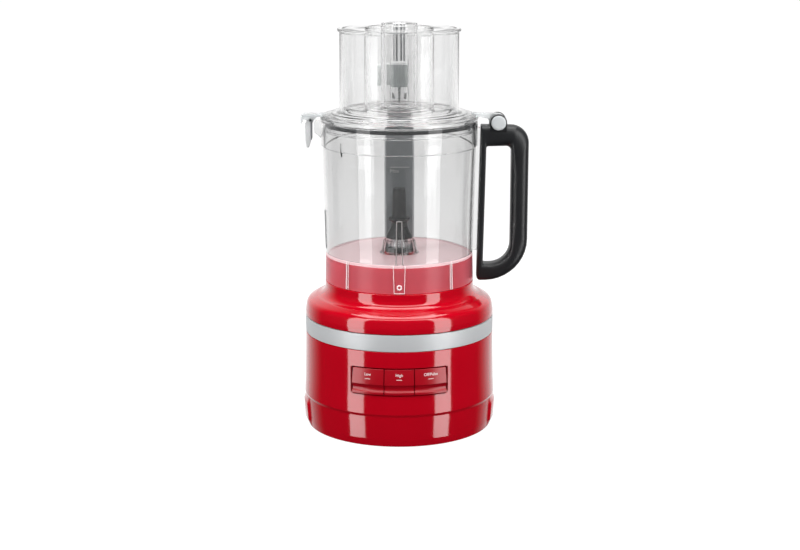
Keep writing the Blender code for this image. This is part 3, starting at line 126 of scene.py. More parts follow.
@dataclass(frozen=True)
class Finish:
    """A real material and how its surface was made.

    Attributes:
        name: The material's common name and its making.
        colour: sRGB hex code.
        roughness: Spread of the gloss.
        metallic: 1 for bare metal, less for a metal under a pale anodised film.
        ior: Index of refraction. A metal keeps the default.
        coat: Weight of a clear lacquer over the top.
        grain_mm: Size of the surface's grain in millimetres, 0 for none.
        grain_depth_mm: Depth of that grain.
        mottle: Share by which the colour wanders.
        stretch: Scale of the grain along X, Y and Z, for brushed or drawn surfaces.
        rough_drift: How far the roughness wanders over the grain.
        glow: White light given off, for a lit backdrop.
    """

    name: str
    colour: str
    roughness: float
    metallic: float = 0.0
    ior: float = 1.5
    coat: float = 0.0
    grain_mm: float = 0.0
    grain_depth_mm: float = 0.0
    mottle: float = 0.0
    stretch: tuple[float, float, float] = (1.0, 1.0, 1.0)
    rough_drift: float = 0.0
    glow: float = 0.0

    def material(self) -> bpy.types.Material:
        """Return this finish's material, made once.

        Returns:
            A material whose grain is noise on Object coordinates, at one cell for each
            grain_mm, mixed into colour, roughness and bump.
        """
        found = bpy.data.materials.get(self.name)
        if found is not None:
            return found
        made = bpy.data.materials.new(self.name)
        made.use_nodes = True
        tree = made.node_tree
        shader = tree.nodes["Principled BSDF"]
        self.constants(shader)
        if self.grain_mm > 0.0:
            self.grain(tree, shader)
        self.extra(tree, shader)
        made.diffuse_color = linear(self.colour)
        return made

    def constants(self, shader: bpy.types.Node) -> None:
        """Set the plain values on the shader's own sockets."""
        shader.inputs["Base Color"].default_value = linear(self.colour)
        shader.inputs["Roughness"].default_value = self.roughness
        shader.inputs["Metallic"].default_value = self.metallic
        if self.metallic < 0.5:
            shader.inputs["IOR"].default_value = self.ior
        shader.inputs["Coat Weight"].default_value = self.coat
        shader.inputs["Coat Roughness"].default_value = 0.03
        shader.inputs["Emission Color"].default_value = linear("#FFFFFF")
        shader.inputs["Emission Strength"].default_value = self.glow

    def grain(self, tree: bpy.types.NodeTree, shader: bpy.types.Node) -> None:
        """Lay a noise grain into the colour, the roughness and the bump."""
        place = add_node(tree, "ShaderNodeTexCoord")
        turn = add_node(
            tree,
            "ShaderNodeMapping",
            inputs={"Scale": self.stretch},
            links={"Vector": place.outputs["Object"]},
        )
        noise = add_node(
            tree,
            "ShaderNodeTexNoise",
            inputs={"Scale": 1.0 / (self.grain_mm * MM), "Detail": 3.0, "Roughness": 0.55},
            links={"Vector": turn.outputs["Vector"]},
        )
        if self.mottle > 0.0:
            base = np.array(linear(self.colour)[:3])
            ramp = add_node(
                tree,
                "ShaderNodeMix",
                {"data_type": "RGBA"},
                {
                    6: (*(base * (1.0 - self.mottle)), 1.0),
                    7: (*np.minimum(base * (1.0 + self.mottle), 1.0), 1.0),
                },
                {0: noise.outputs["Fac"]},
            )
            tree.links.new(ramp.outputs[2], shader.inputs["Base Color"])
        if self.rough_drift > 0.0:
            spread = add_node(
                tree,
                "ShaderNodeMapRange",
                inputs={
                    "To Min": max(self.roughness - self.rough_drift, 0.02),
                    "To Max": self.roughness + self.rough_drift,
                },
                links={"Value": noise.outputs["Fac"]},
            )
            tree.links.new(spread.outputs["Result"], shader.inputs["Roughness"])
        if self.grain_depth_mm > 0.0:
            bump = add_node(
                tree,
                "ShaderNodeBump",
                inputs={"Strength": 1.0, "Distance": self.grain_depth_mm * MM},
                links={"Height": noise.outputs["Fac"]},
            )
            tree.links.new(bump.outputs["Normal"], shader.inputs["Normal"])

    def extra(self, tree: bpy.types.NodeTree, shader: bpy.types.Node) -> None:
        """Leave room for a finish that needs more nodes."""


@dataclass(frozen=True)
class ClearFinish(Finish):
    """A see-through moulded plastic, which lets lamps through to what it holds.

    Attributes:
        tint: How much light one surface passes straight through to a lamp.
        clear: Share of the light that passes, the rest being scattered white.
    """

    tint: str = "#FFFFFF"
    clear: float = 1.0

    def extra(self, tree: bpy.types.NodeTree, shader: bpy.types.Node) -> None:
        """Make the shader pass light, and let rays from lamps go straight through."""
        shader.inputs["Transmission Weight"].default_value = self.clear
        path = add_node(tree, "ShaderNodeLightPath")
        passing = add_node(
            tree, "ShaderNodeBsdfTransparent", inputs={"Color": linear(self.tint)}
        )
        mix = add_node(
            tree,
            "ShaderNodeMixShader",
            links={
                0: path.outputs["Is Shadow Ray"],
                1: shader.outputs["BSDF"],
                2: passing.outputs["BSDF"],
            },
        )
        output = tree.nodes["Material Output"]
        tree.links.new(mix.outputs["Shader"], output.inputs["Surface"])


# Injection-moulded ABS with a mirror polish and lacquer: deep red, sharp reflections.
GLOSS_RED = Finish(
    "abs_gloss_red", "#B80018", 0.10, ior=1.5, coat=0.5,
    grain_mm=40.0, mottle=0.02, rough_drift=0.01,
)
# The same ABS with a finer satin face, for the keys.
SATIN_RED = Finish(
    "abs_satin_red", "#A20418", 0.24, ior=1.5,
    grain_mm=0.6, grain_depth_mm=0.003, rough_drift=0.03,
)
# The same ABS, unpolished, on the walls of the key recess. Its darker red is painted shade in the
# recess.
RECESS_SHADE_RED = Finish(
    "abs_recess_red_painted_shade", "#8E0712", 0.35, ior=1.5, grain_mm=0.8, grain_depth_mm=0.003,
)
# Bead-blasted and anodised aluminium: even satin grey with a soft highlight. Metallic is well
# below 1, a chosen value that gives the band its light, paint-like tone.
SATIN_ALUMINIUM = Finish(
    "aluminium_blasted_anodised", "#CDCFD1", 0.5, metallic=0.3,
    grain_mm=0.35, grain_depth_mm=0.004, mottle=0.03, rough_drift=0.04,
)
# Injection-moulded copolyester: water clear, edges gather grey. The plastic's own IOR is about
# 1.57. All the clear finishes here use less, so that walls inside walls stay readable.
CLEAR_COPOLYESTER = ClearFinish(
    "copolyester_clear_moulded", "#E9E9E9", 0.0, ior=1.42, tint="#F6F7F7",
)
# The same plastic in the thinner walls of the lid.
LID_COPOLYESTER = ClearFinish(
    "copolyester_clear_lid", "#F8F8F8", 0.0, ior=1.34, tint="#F6F7F7",
)
# The nested pushers, whose many walls need the lowest IOR of all.
THIN_COPOLYESTER = ClearFinish(
    "copolyester_clear_thin", "#FBFBFB", 0.0, ior=1.24, tint="#F9FAFA",
)
# The same plastic with a sparked mould face: milky, hides detail behind it. Its pink is painted:
# it stands for the red base glowing through the frosting.
FROST_PAINTED_RED_GLOW = ClearFinish(
    "copolyester_frosted_painted_red_glow", "#F58593", 0.28, ior=1.35, tint="#FBE6E8", clear=0.74,
)
# The floor of the bowl: the same frosting, paler and more scattering. Its pale pink is painted red
# light from the base below.
PALE_FROST_PAINTED_RED_GLOW = ClearFinish(
    "copolyester_frosted_floor_painted_red_glow", "#FBDDE0", 0.22, ior=1.35, tint="#FBEDEE", clear=0.3,
)
# Clear plastic with a light frost, grey where it is thick.
MILKY_COPOLYESTER = ClearFinish(
    "copolyester_milky_moulded", "#E9EBEC", 0.25, ior=1.38, tint="#F4F4F4", clear=0.7,
)
# Clear plastic whitened where it is raised and scratched by the mould.
PALE_COPOLYESTER = Finish(
    "copolyester_pale_moulded", "#F7EDED", 0.35, ior=1.45, grain_mm=0.5, grain_depth_mm=0.004,
)
# Solid dark grey for two marks: painted shade in the strip along the latch lever's inner edge, and
# the dark stripes in the rear arm.
SHADE_AND_STRIPE_GREY = Finish(
    "grey_painted_shade_and_stripes", "#7E7F82", 0.3, ior=1.45, grain_mm=25.0, mottle=0.06,
)
# Smoke plastic as a solid pale grey, on the rear channel.
CHANNEL_SMOKE = Finish(
    "copolyester_smoke_channel", "#B2B3B6", 0.35, ior=1.4, grain_mm=25.0, mottle=0.06,
)
# Smoke-tinted copolyester of the interlock channel.
SMOKE_COPOLYESTER = ClearFinish(
    "copolyester_smoke_moulded", "#6E7072", 0.12, ior=1.45, tint="#77797B",
)
# Glass-filled nylon with an eroded mould grain: near black and matt, with fine speckle.
BLACK_NYLON = Finish(
    "nylon_black_eroded", "#1B1C1E", 0.42, ior=1.53,
    grain_mm=0.45, grain_depth_mm=0.012, mottle=0.10, rough_drift=0.06,
)
# Near black nylon with a satin face, for the drive adapter.
DARK_NYLON = Finish(
    "nylon_dark_moulded", "#0D0E0F", 0.5, ior=1.53,
    grain_mm=0.7, grain_depth_mm=0.006, mottle=0.06, rough_drift=0.05,
)
# Silicone rubber gasket: soft dark grey.
DARK_SILICONE = Finish(
    "silicone_dark_moulded", "#2C2D2F", 0.6, ior=1.42, grain_mm=0.8, grain_depth_mm=0.005,
)
# Thermoplastic rubber of the feet.
FOOT_RUBBER = Finish(
    "rubber_foot_moulded", "#1E1E20", 0.8, ior=1.5, grain_mm=0.8, grain_depth_mm=0.02,
)
# Turned and ground stainless steel.
GROUND_STEEL = Finish(
    "stainless_steel_ground", "#C9CACB", 0.22, metallic=1.0,
    grain_mm=2.0, mottle=0.04, stretch=(1.0, 1.0, 14.0), rough_drift=0.06,
)
# Acetal, moulded white and slippery.
WHITE_ACETAL = Finish(
    "acetal_white_moulded", "#F6F7F6", 0.28, ior=1.48, grain_mm=0.9, grain_depth_mm=0.004,
)
# The same plastic in a light grey, for the latch lever.
GREY_ACETAL = Finish("acetal_grey_moulded", "#DADBDC", 0.3, ior=1.48, grain_mm=0.9, mottle=0.03)
# Pale grey ABS of the hinge caps and the catch.
PALE_ABS = Finish(
    "abs_pale_grey_moulded", "#C9CCCE", 0.32, ior=1.53, grain_mm=0.6, grain_depth_mm=0.006,
)
# Pad-printed white and grey ink.
WHITE_INK = Finish("ink_white_printed", "#F4F0F0", 0.5, grain_mm=0.4, mottle=0.03)
# Epoxy-glass circuit board under green solder mask.
BOARD_GREEN = Finish("epoxy_glass_green_mask", "#1C5A34", 0.4, grain_mm=1.2, mottle=0.08)
# Enamelled copper winding, laid in fine turns.
COIL_COPPER = Finish(
    "copper_enamelled_winding", "#B56A3A", 0.3, metallic=1.0,
    grain_mm=0.8, grain_depth_mm=0.05, stretch=(0.2, 0.2, 3.0),
)
# Eroded black ABS of the underside.
BLACK_ABS = Finish(
    "abs_black_eroded", "#1C1C1E", 0.55, ior=1.53, grain_mm=0.7, grain_depth_mm=0.015,
)


# ---------------------------------------------------------------------------
# Shapes as grids
# ---------------------------------------------------------------------------


def rounded(corners: Sequence[tuple[float, float, float]], closed: bool = True) -> Grid:
    """Round the corners of an outline.

    At a corner with radius q and half opening angle h, the arc starts q / tan(h) back along
    each side and its centre lies q / sin(h) along the bisector.

    Args:
        corners: (u, v, radius) of each corner, in metres.
        closed: Whether the outline returns to its start.

    Returns:
        Points of the rounded outline, one row each.
    """
    spots = np.array([corner[:2] for corner in corners])
    wanted = np.array([corner[2] for corner in corners])
    ahead = np.roll(spots, -1, axis=0) - spots
    length = np.linalg.norm(ahead, axis=1)
    ahead = ahead / length[:, None]
    back = -np.roll(ahead, 1, axis=0)
    half = 0.5 * np.arccos(np.clip(np.sum(ahead * back, axis=1), -1.0, 1.0))
    if not closed:
        wanted[[0, -1]] = 0.0
    reach = wanted / np.maximum(np.tan(half), 1e-6)
    room = np.minimum(1.0, 0.98 * length / np.maximum(reach + np.roll(reach, -1), 1e-9))
    reach = reach * np.minimum(room, np.roll(room, 1))
    made: list[Grid] = []
    for i, at in enumerate(spots):
        if reach[i] < 1e-7 or half[i] > 0.5 * math.pi - 0.004:
            made.append(at[None, :])
            continue
        radius = reach[i] * math.tan(half[i])
        bisector = back[i] + ahead[i]
        centre = at + bisector / np.linalg.norm(bisector) * radius / math.sin(half[i])
        first = at + back[i] * reach[i] - centre
        last = at + ahead[i] * reach[i] - centre
        sweep = math.pi - 2.0 * half[i]
        steps = max(3, int(math.degrees(sweep) / 9.0))
        t = np.linspace(0.0, 1.0, steps + 1)[:, None]
        arc = np.sin((1.0 - t) * sweep) * first + np.sin(t * sweep) * last
        made.append(centre + arc / math.sin(sweep))
    return np.concatenate(made)


def lattice(rows: int, columns: int, wrap: Wrap) -> NDArray[np.int64]:
    """List the quads of a grid of points stored row by row.

    Args:
        rows: Number of rows.
        columns: Number of points in a row.
        wrap: Whether columns, or rows and columns, join up.

    Returns:
        Four point numbers for each quad.
    """
    more_rows = rows if wrap is Wrap.BOTH else rows - 1
    more_columns = columns - 1 if wrap is Wrap.NONE else columns
    i, j = np.meshgrid(np.arange(more_rows), np.arange(more_columns), indexing="ij")
    below = (i + 1) % rows
    beside = (j + 1) % columns
    quads = [i * columns + j, i * columns + beside, below * columns + beside, below * columns + j]
    return np.stack([q.ravel() for q in quads], axis=1)


@dataclass
class Shell:
    """Points and faces that grow into one mesh."""

    points: list[Grid] = field(default_factory=list)
    faces: list[NDArray[np.int64]] = field(default_factory=list)
    total: int = 0

    def add(self, grid: Grid, quads: NDArray[np.int64]) -> "Shell":
        """Add a patch of points with its own faces."""
        self.points.append(grid.reshape(-1, 3))
        self.faces.append(quads + self.total)
        self.total += grid.reshape(-1, 3).shape[0]
        return self

    def surface(self, grid: Grid, wrap: Wrap = Wrap.NONE) -> "Shell":
        """Add a grid of shape (rows, columns, 3)."""
        return self.add(grid, lattice(grid.shape[0], grid.shape[1], wrap))

    def merge(self, other: "Shell") -> "Shell":
        """Add another shell's patches."""
        self.points.extend(other.points)
        self.faces.extend(quads + self.total for quads in other.faces)
        self.total += other.total
        return self

    def piece(self, name: str, finish: Finish, smooth_deg: float = 38.0) -> bpy.types.Object:
        """Make the mesh object, weld it and turn its faces outward.

        Args:
            name: Piece name.
            finish: Its finish.
            smooth_deg: Edges sharper than this stay crisp.

        Returns:
            The object, at the origin, with its place in its mesh.
        """
        mesh = bpy.data.meshes.new(name)
        points = np.concatenate(self.points)
        faces = [row for block in self.faces for row in block.tolist()]
        mesh.from_pydata(points.tolist(), [], faces)
        piece = bpy.data.objects.new(name, mesh)
        bpy.context.scene.collection.objects.link(piece)
        tidy_mesh(mesh)
        mesh.materials.append(finish.material())
        mesh.set_sharp_from_angle(angle=math.radians(smooth_deg))
        return piece


def tidy_mesh(mesh: bpy.types.Mesh) -> None:
    """Weld a mesh's doubles, drop empty faces and turn the rest outward."""
    work = bmesh.new()
    work.from_mesh(mesh)
    bmesh.ops.remove_doubles(work, verts=work.verts, dist=0.000002)
    bmesh.ops.dissolve_degenerate(work, edges=work.edges, dist=0.000001)
    bmesh.ops.recalc_face_normals(work, faces=work.faces)
    for face in work.faces:
        face.smooth = True
    work.to_mesh(mesh)
    work.free()


def turned(profile: Grid, steps: int = 160, centre: Point = (0.0, 0.0)) -> Shell:
    """Turn a closed profile about an upright axis.

    A point (r, z) goes to (x + r cos a, y + r sin a, z) for a full circle of angles a.

    Args:
        profile: Radius and height of each point, a closed loop.
        steps: Number of angles.
        centre: The axis, measured from the processor's own.

    Returns:
        A closed surface of revolution.
    """
    angle = np.linspace(0.0, math.tau, steps, endpoint=False)
    r = profile[:, 0][:, None]
    z = np.broadcast_to(profile[:, 1][:, None], (len(profile), steps))
    x = AXIS_X + centre[0] + r * np.cos(angle)
    y = centre[1] + r * np.sin(angle)
    return Shell().surface(np.stack([x, y, z], axis=2), Wrap.BOTH)


def turned_open(profile: Grid, steps: int = 96, centre: Point = (0.0, 0.0)) -> Shell:
    """Turn a profile whose ends lie on the axis, so that its poles close."""
    angle = np.linspace(0.0, math.tau, steps, endpoint=False)
    r = profile[:, 0][:, None]
    z = np.broadcast_to(profile[:, 1][:, None], (len(profile), steps))
    x = AXIS_X + centre[0] + r * np.cos(angle)
    y = centre[1] + r * np.sin(angle)
    return Shell().surface(np.stack([x, y, z], axis=2), Wrap.AROUND)


def sector_of(profile: Grid, start: float, end: float, steps: int = 24) -> Shell:
    """Turn a closed profile through part of a circle and cap both ends.

    Args:
        profile: Radius and height of each point, a closed loop.
        start: First angle from the front toward +X, in radians.
        end: Last angle.
        steps: Number of strips between them.

    Returns:
        A closed curved bar.
    """
    angle = np.linspace(start, end, steps + 1)
    r = profile[:, 0][:, None]
    z = np.broadcast_to(profile[:, 1][:, None], (len(profile), steps + 1))
    grid = np.stack([AXIS_X + r * np.sin(angle), -r * np.cos(angle), z], axis=2)
    shell = Shell().surface(grid.transpose(1, 0, 2), Wrap.AROUND)
    count = len(profile)
    shell.faces.append(np.arange(count)[None, ::-1])
    shell.faces.append(np.arange(count)[None, :] + steps * count)
    return shell


def slab(outline: Grid, low: float, high: float, ease: float, plane: str = "xz") -> Shell:
    """Thicken an outline with rounded rims.

    The rims are quarter arcs: at turn a the outline is shrunk by ease (1 - sin a) along its
    own normals and lies ease (1 - cos a) in from the face. Both faces are one polygon each.

    Args:
        outline: Closed outline, counter-clockwise, about the processor's axis.
        low: First face's place along the third axis.
        high: Second face's place.
        ease: Radius of the rims.
        plane: Which axes the outline lies in: xz, xy or yz.

    Returns:
        A closed slab.
    """
    ahead = np.roll(outline, -1, axis=0) - outline
    before = outline - np.roll(outline, 1, axis=0)
    ahead = ahead / np.maximum(np.linalg.norm(ahead, axis=1, keepdims=True), 1e-12)
    before = before / np.maximum(np.linalg.norm(before, axis=1, keepdims=True), 1e-12)
    along = ahead + before
    along = along / np.maximum(np.linalg.norm(along, axis=1, keepdims=True), 1e-12)
    inward = np.stack([-along[:, 1], along[:, 0]], axis=1)
    turn = np.linspace(0.0, 0.5 * math.pi, 5)
    shrink = np.concatenate([ease * (1.0 - np.sin(turn)), ease * (1.0 - np.sin(turn[::-1]))])
    drop = ease * (1.0 - np.cos(turn))
    depth = np.concatenate([low + drop, high - drop[::-1]])
    flat = outline[None, :, :] + inward[None, :, :] * shrink[:, None, None]
    third = np.broadcast_to(depth[:, None], flat.shape[:2])
    order = {"xz": (0, 2, 1), "xy": (0, 1, 2), "yz": (1, 2, 0)}[plane]
    stacked = [flat[..., 0], flat[..., 1], third]
    grid = np.stack([stacked[order.index(k)] for k in range(3)], axis=2)
    grid[..., 0] += AXIS_X
    shell = Shell().surface(grid, Wrap.AROUND)
    count = outline.shape[0]
    rows = grid.shape[0]
    shell.faces.append(np.arange(count)[None, ::-1])
    shell.faces.append(np.arange(count)[None, :] + (rows - 1) * count)
    return shell


def box_outline(low: Point, high: Point, radius: float) -> Grid:
    """Outline a rectangle with rounded corners, counter-clockwise."""
    corners = [(low[0], low[1]), (high[0], low[1]), (high[0], high[1]), (low[0], high[1])]
    return rounded([(u, v, radius) for u, v in corners])


def circle_outline(centre: Point, radius: float, steps: int = 48) -> Grid:
    """Outline a circle, counter-clockwise."""
    angle = np.linspace(0.0, math.tau, steps, endpoint=False)
    x = centre[0] + radius * np.cos(angle)
    y = centre[1] + radius * np.sin(angle)
    return np.stack([x, y], axis=1)


def resampled(outline: Grid, spacing: float, closed: bool = True) -> Grid:
    """Place points at even distances along an outline, and keep its own corners."""
    loop = np.concatenate([outline, outline[:1]]) if closed else outline
    run = np.concatenate([[0.0], np.cumsum(np.linalg.norm(np.diff(loop, axis=0), axis=1))])
    even = np.linspace(0.0, run[-1], int(run[-1] / spacing) + 1)
    spots = np.unique(np.concatenate([even, run]))
    spots = spots[np.concatenate([[True], np.diff(spots) > 0.00002])]
    made = np.stack([np.interp(spots, run, loop[:, k]) for k in range(2)], axis=1)
    return made[:-1] if closed else made


def ray_reach(outline: Grid, middle: Grid, angle: Grid) -> Grid:
    """Find where rays from a middle point meet a closed outline around it.

    Args:
        outline: Closed outline that each ray crosses once.
        middle: Where the rays start.
        angle: Direction of each ray, in rising order from -pi to pi.

    Returns:
        The vector from the middle to the outline along each ray.
    """
    fine = resampled(outline, 0.25 * MM) - middle
    turn = np.arctan2(fine[:, 1], fine[:, 0])
    length = np.linalg.norm(fine, axis=1)
    order = np.argsort(turn)
    reach = np.interp(angle, turn[order], length[order], period=math.tau)
    return reach[:, None] * np.stack([np.cos(angle), np.sin(angle)], axis=1)


def cut_from(piece: bpy.types.Object, tools: Iterable[bpy.types.Object], how: str) -> None:
    """Combine a piece with closed tools by exact Boolean steps and remove the tools.

    Args:
        piece: The piece to change.
        tools: Closed meshes in the same frame.
        how: DIFFERENCE, UNION or INTERSECT.
    """
    for tool in tools:
        step = piece.modifiers.new(how.title(), "BOOLEAN")
        step.operation = how
        step.solver = "EXACT"
        step.object = tool
        bpy.context.view_layer.update()
        graph = bpy.context.evaluated_depsgraph_get()
        made = bpy.data.meshes.new_from_object(piece.evaluated_get(graph))
        piece.modifiers.clear()
        materials = [slot.material for slot in piece.material_slots]
        piece.data = made
        made.materials.clear()
        made.materials.append(materials[0])
        made.polygons.foreach_set("material_index", np.zeros(len(made.polygons), dtype=np.int32))
        bpy.data.objects.remove(tool, do_unlink=True)
        made.set_sharp_from_angle(angle=math.radians(38.0))


def settle(
    piece: bpy.types.Object, body: str, nodes: Iterable[str] = ()
) -> bpy.types.Object:
    """Give a finished piece its body and the nodes that it stands for."""
    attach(piece, body)
    names = list(nodes)
    if names:
        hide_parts(*names)
    LOG.info("%s: %d faces on %s", piece.name, len(piece.data.polygons), body)
    return piece


def dress(nodes: Iterable[str], finish: Finish) -> None:
    """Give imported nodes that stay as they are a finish, with crisp edges kept."""
    for name in nodes:
        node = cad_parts[name]
        node.data.materials.clear()
        node.data.materials.append(finish.material())
        LOG.info("%s: dressed in %s", name, finish.name)


def turned_about(
    profile: Grid,
    origin: Sequence[float],
    direction: str,
    steps: int = 48,
    wrap: Wrap = Wrap.BOTH,
) -> Shell:
    """Turn a profile about a line along X or Y.

    A point (r, s) goes to origin + s along the line + r (cos a, sin a) square to it.

    Args:
        profile: Radius and place along the line of each point.
        origin: A point on the line, measured from the processor's axis.
        direction: x or y.
        steps: Number of angles.
        wrap: Both ways for a closed loop, around for a profile that ends on the line.

    Returns:
        A closed surface of revolution.
    """
    angle = np.linspace(0.0, math.tau, steps, endpoint=False)
    r = profile[:, 0][:, None]
    s = np.broadcast_to(profile[:, 1][:, None], (len(profile), steps))
    first = r * np.cos(angle)
    second = r * np.sin(angle)
    order = [s, first, second] if direction == "x" else [first, s, second]
    grid = np.stack(order, axis=2) + np.array(origin)
    grid[..., 0] += AXIS_X
    return Shell().surface(grid, wrap)


def smooth_step(value: Grid, low: float, high: float) -> Grid:
    """Rise from 0 at low to 1 at high along 3 t squared less 2 t cubed."""
    t = np.clip((value - low) / (high - low), 0.0, 1.0)
    return t * t * (3.0 - 2.0 * t)


def lettering(words: str, height: float, deep: float) -> bpy.types.Mesh:
    """Make flat text as a mesh, centred on its own origin in the XY plane."""
    curve = bpy.data.curves.new("words", "FONT")
    curve.body = words
    curve.size = height
    curve.extrude = deep / 2
    curve.align_x = "CENTER"
    curve.align_y = "CENTER"
    curve.resolution_u = 3
    holder = bpy.data.objects.new("words", curve)
    bpy.context.scene.collection.objects.link(holder)
    bpy.context.view_layer.update()
    graph = bpy.context.evaluated_depsgraph_get()
    mesh = bpy.data.meshes.new_from_object(holder.evaluated_get(graph))
    bpy.data.objects.remove(holder, do_unlink=True)
    return mesh


def printed(
    name: str, marks: bpy.types.Mesh, lay: Callable[[Grid], Grid], finish: Finish
) -> bpy.types.Object:
    """Lay a flat mesh on a surface.

    Args:
        name: Piece name.
        marks: Flat mesh of the marks, across X and up Y, with its thickness along Z.
        lay: Takes points (across, up, out) to points of the model.
        finish: The ink.

    Returns:
        The piece, with its place in its mesh.
    """
    points = np.empty(len(marks.vertices) * 3)
    marks.vertices.foreach_get("co", points)
    marks.vertices.foreach_set("co", lay(points.reshape(-1, 3)).ravel())
    marks.update()
    piece = bpy.data.objects.new(name, marks)
    bpy.context.scene.collection.objects.link(piece)
    tidy_mesh(marks)
    marks.materials.clear()
    marks.materials.append(finish.material())
    marks.set_sharp_from_angle(angle=math.radians(30.0))
    return piece


# ---------------------------------------------------------------------------
# Base
# ---------------------------------------------------------------------------


@dataclass
class Base:
    """Motor base: two red shells, the trim band, the keys and the underside."""

    ridge_z: float = 37.0 * MM
    ridge_r: float = 107.3 * MM
    top_r: float = 105.5 * MM
    top_z: float = 107.7 * MM
    bottom_r: float = 104.0 * MM
    wall: float = 2.5 * MM
    grip_rise: float = 2.9 * MM
    grip_half: float = 0.34
    neck_r: float = 82.9 * MM
    boss_r: float = 70.5 * MM
    key_low: float = 60.0 * MM
    key_high: float = 88.6 * MM
    key_face_r: float = 106.6 * MM
    key_back_r: float = 101.0 * MM

    def build(self) -> None:
        """Build and dress every piece of the base."""
        self.lower_shell()
        self.band()
        self.upper_shell()
        self.keys()
        self.gland()
        self.feet()
        self.inside()

    def lower_shell(self) -> None:
        """Lower shell with its ridge line, lift grips, key opening and cord hole.

        The profile is turned, and near the two sides the wall below the ridge swells by
        grip_rise times a window of the angle and a window of the height.
        """
        spigot = self.top_r - 2.9 * MM
        low_in = self.bottom_r - self.wall
        profile = rounded(
            [
                (spigot, 126.7 * MM, 0.3 * MM),
                (spigot, self.top_z, 0.0),
                (self.top_r, self.top_z, 0.5 * MM),
                (self.top_r + 0.3 * MM, 88.0 * MM, 30.0 * MM),
                (self.top_r + 1.0 * MM, 55.0 * MM, 30.0 * MM),
                (self.ridge_r + 0.1 * MM, self.ridge_z + 0.9 * MM, 0.8 * MM),
                (self.ridge_r - 1.1 * MM, self.ridge_z - 2.0 * MM, 1.6 * MM),
                (self.ridge_r - 1.3 * MM, 28.0 * MM, 20.0 * MM),
                (self.bottom_r + 0.9 * MM, 9.0 * MM, 20.0 * MM),
                (self.bottom_r, 1.0 * MM, 0.9 * MM),
                (low_in, 1.0 * MM, 0.5 * MM),
                (self.ridge_r - self.wall - 1.0 * MM, 33.0 * MM, 2.0 * MM),
                (self.top_r - self.wall, 105.2 * MM, 0.5 * MM),
                (spigot - self.wall, 105.2 * MM, 0.0),
                (spigot - self.wall, 126.7 * MM, 0.3 * MM),
            ]
        )
        steps = 288
        angle = np.linspace(0.0, math.tau, steps, endpoint=False)
        r = profile[:, 0][:, None]
        z = np.broadcast_to(profile[:, 1][:, None], (len(profile), steps))
        off = np.abs(np.abs(((angle + 0.5 * math.pi) % math.tau) - math.pi) - 0.5 * math.pi)
        window = 1.0 - smooth_step(off, self.grip_half - 0.035, self.grip_half)
        tall = smooth_step(z, 3.0 * MM, 11.0 * MM) * (1.0 - smooth_step(z, 26.0 * MM, 33.0 * MM))
        outer = r > 103.2 * MM
        swell = self.grip_rise * window[None, :] * tall * outer
        grid = np.stack(
            [AXIS_X + (r + swell) * np.cos(angle), (r + swell) * np.sin(angle), z], axis=2
        )
        shell = Shell().surface(grid, Wrap.BOTH).piece("lower_shell", GLOSS_RED, 30.0)
        opening = box_outline((-52.9 * MM, 59.0 * MM), (52.9 * MM, 90.0 * MM), 3.6 * MM)
        mouth = slab(opening, -125.0 * MM, -70.0 * MM, 0.0).piece("key_mouth", GLOSS_RED)
        hole = slab(circle_outline((0.0, 20.0 * MM), 6.5 * MM), 90.0 * MM, 120.0 * MM, 0.0)
        cut_from(shell, [mouth, hole.piece("cord_hole", GLOSS_RED)], "DIFFERENCE")
        settle(shell, "base", ["lower_housing"])

    def band(self) -> None:
        """Plain satin band between the shells, with eased rims."""
        low = 108.1 * MM
        high = 126.3 * MM
        profile = rounded(
            [
                (self.top_r, high, 0.5 * MM),
                (self.top_r, low, 0.5 * MM),
                (self.top_r - 2.5 * MM, low, 0.2 * MM),
                (self.top_r - 2.5 * MM, high, 0.2 * MM),
            ]
        )
        band = turned(profile, 288).piece("silver_band", SATIN_ALUMINIUM)
        settle(band, "base", ["trim_band"])

    def upper_shell(self) -> None:
        """Upper shell: one full shoulder, a cove into the neck, and the boss."""
        boss_in = self.boss_r - self.wall
        profile = rounded(
            [
                (13.0 * MM, 190.0 * MM, 0.4 * MM),
                (self.boss_r, 190.0 * MM, 2.4 * MM),
                (self.boss_r, 165.7 * MM, 0.3 * MM),
                (self.neck_r, 165.7 * MM, 0.8 * MM),
                (self.neck_r + 0.4 * MM, 151.2 * MM, 11.0 * MM),
                (93.5 * MM, 149.0 * MM, 9.0 * MM),
                (103.6 * MM, 143.6 * MM, 9.0 * MM),
                (self.top_r - 0.1 * MM, 132.5 * MM, 14.0 * MM),
                (self.top_r, 127.1 * MM, 0.5 * MM),
                (self.top_r - self.wall, 127.1 * MM, 0.3 * MM),
                (100.8 * MM, 138.0 * MM, 6.0 * MM),
                (91.0 * MM, 146.6 * MM, 6.0 * MM),
                (80.4 * MM, 147.2 * MM, 1.0 * MM),
                (80.4 * MM, 163.2 * MM, 1.0 * MM),
                (boss_in, 163.2 * MM, 0.5 * MM),
                (boss_in, 187.5 * MM, 1.0 * MM),
                (15.5 * MM, 187.5 * MM, 0.5 * MM),
                (15.5 * MM, 172.0 * MM, 0.4 * MM),
                (13.0 * MM, 172.0 * MM, 0.4 * MM),
            ]
        )
        shell = turned(profile, 288).piece("upper_shell", GLOSS_RED, 30.0)
        hole = circle_outline((0.0, 91.0 * MM), 3.0 * MM, 24)
        pin = slab(hole, 135.0 * MM, 155.0 * MM, 0.0, "xy").piece("pin_hole", GLOSS_RED)
        cut_from(shell, [pin], "DIFFERENCE")
        settle(shell, "base", ["upper_housing"])

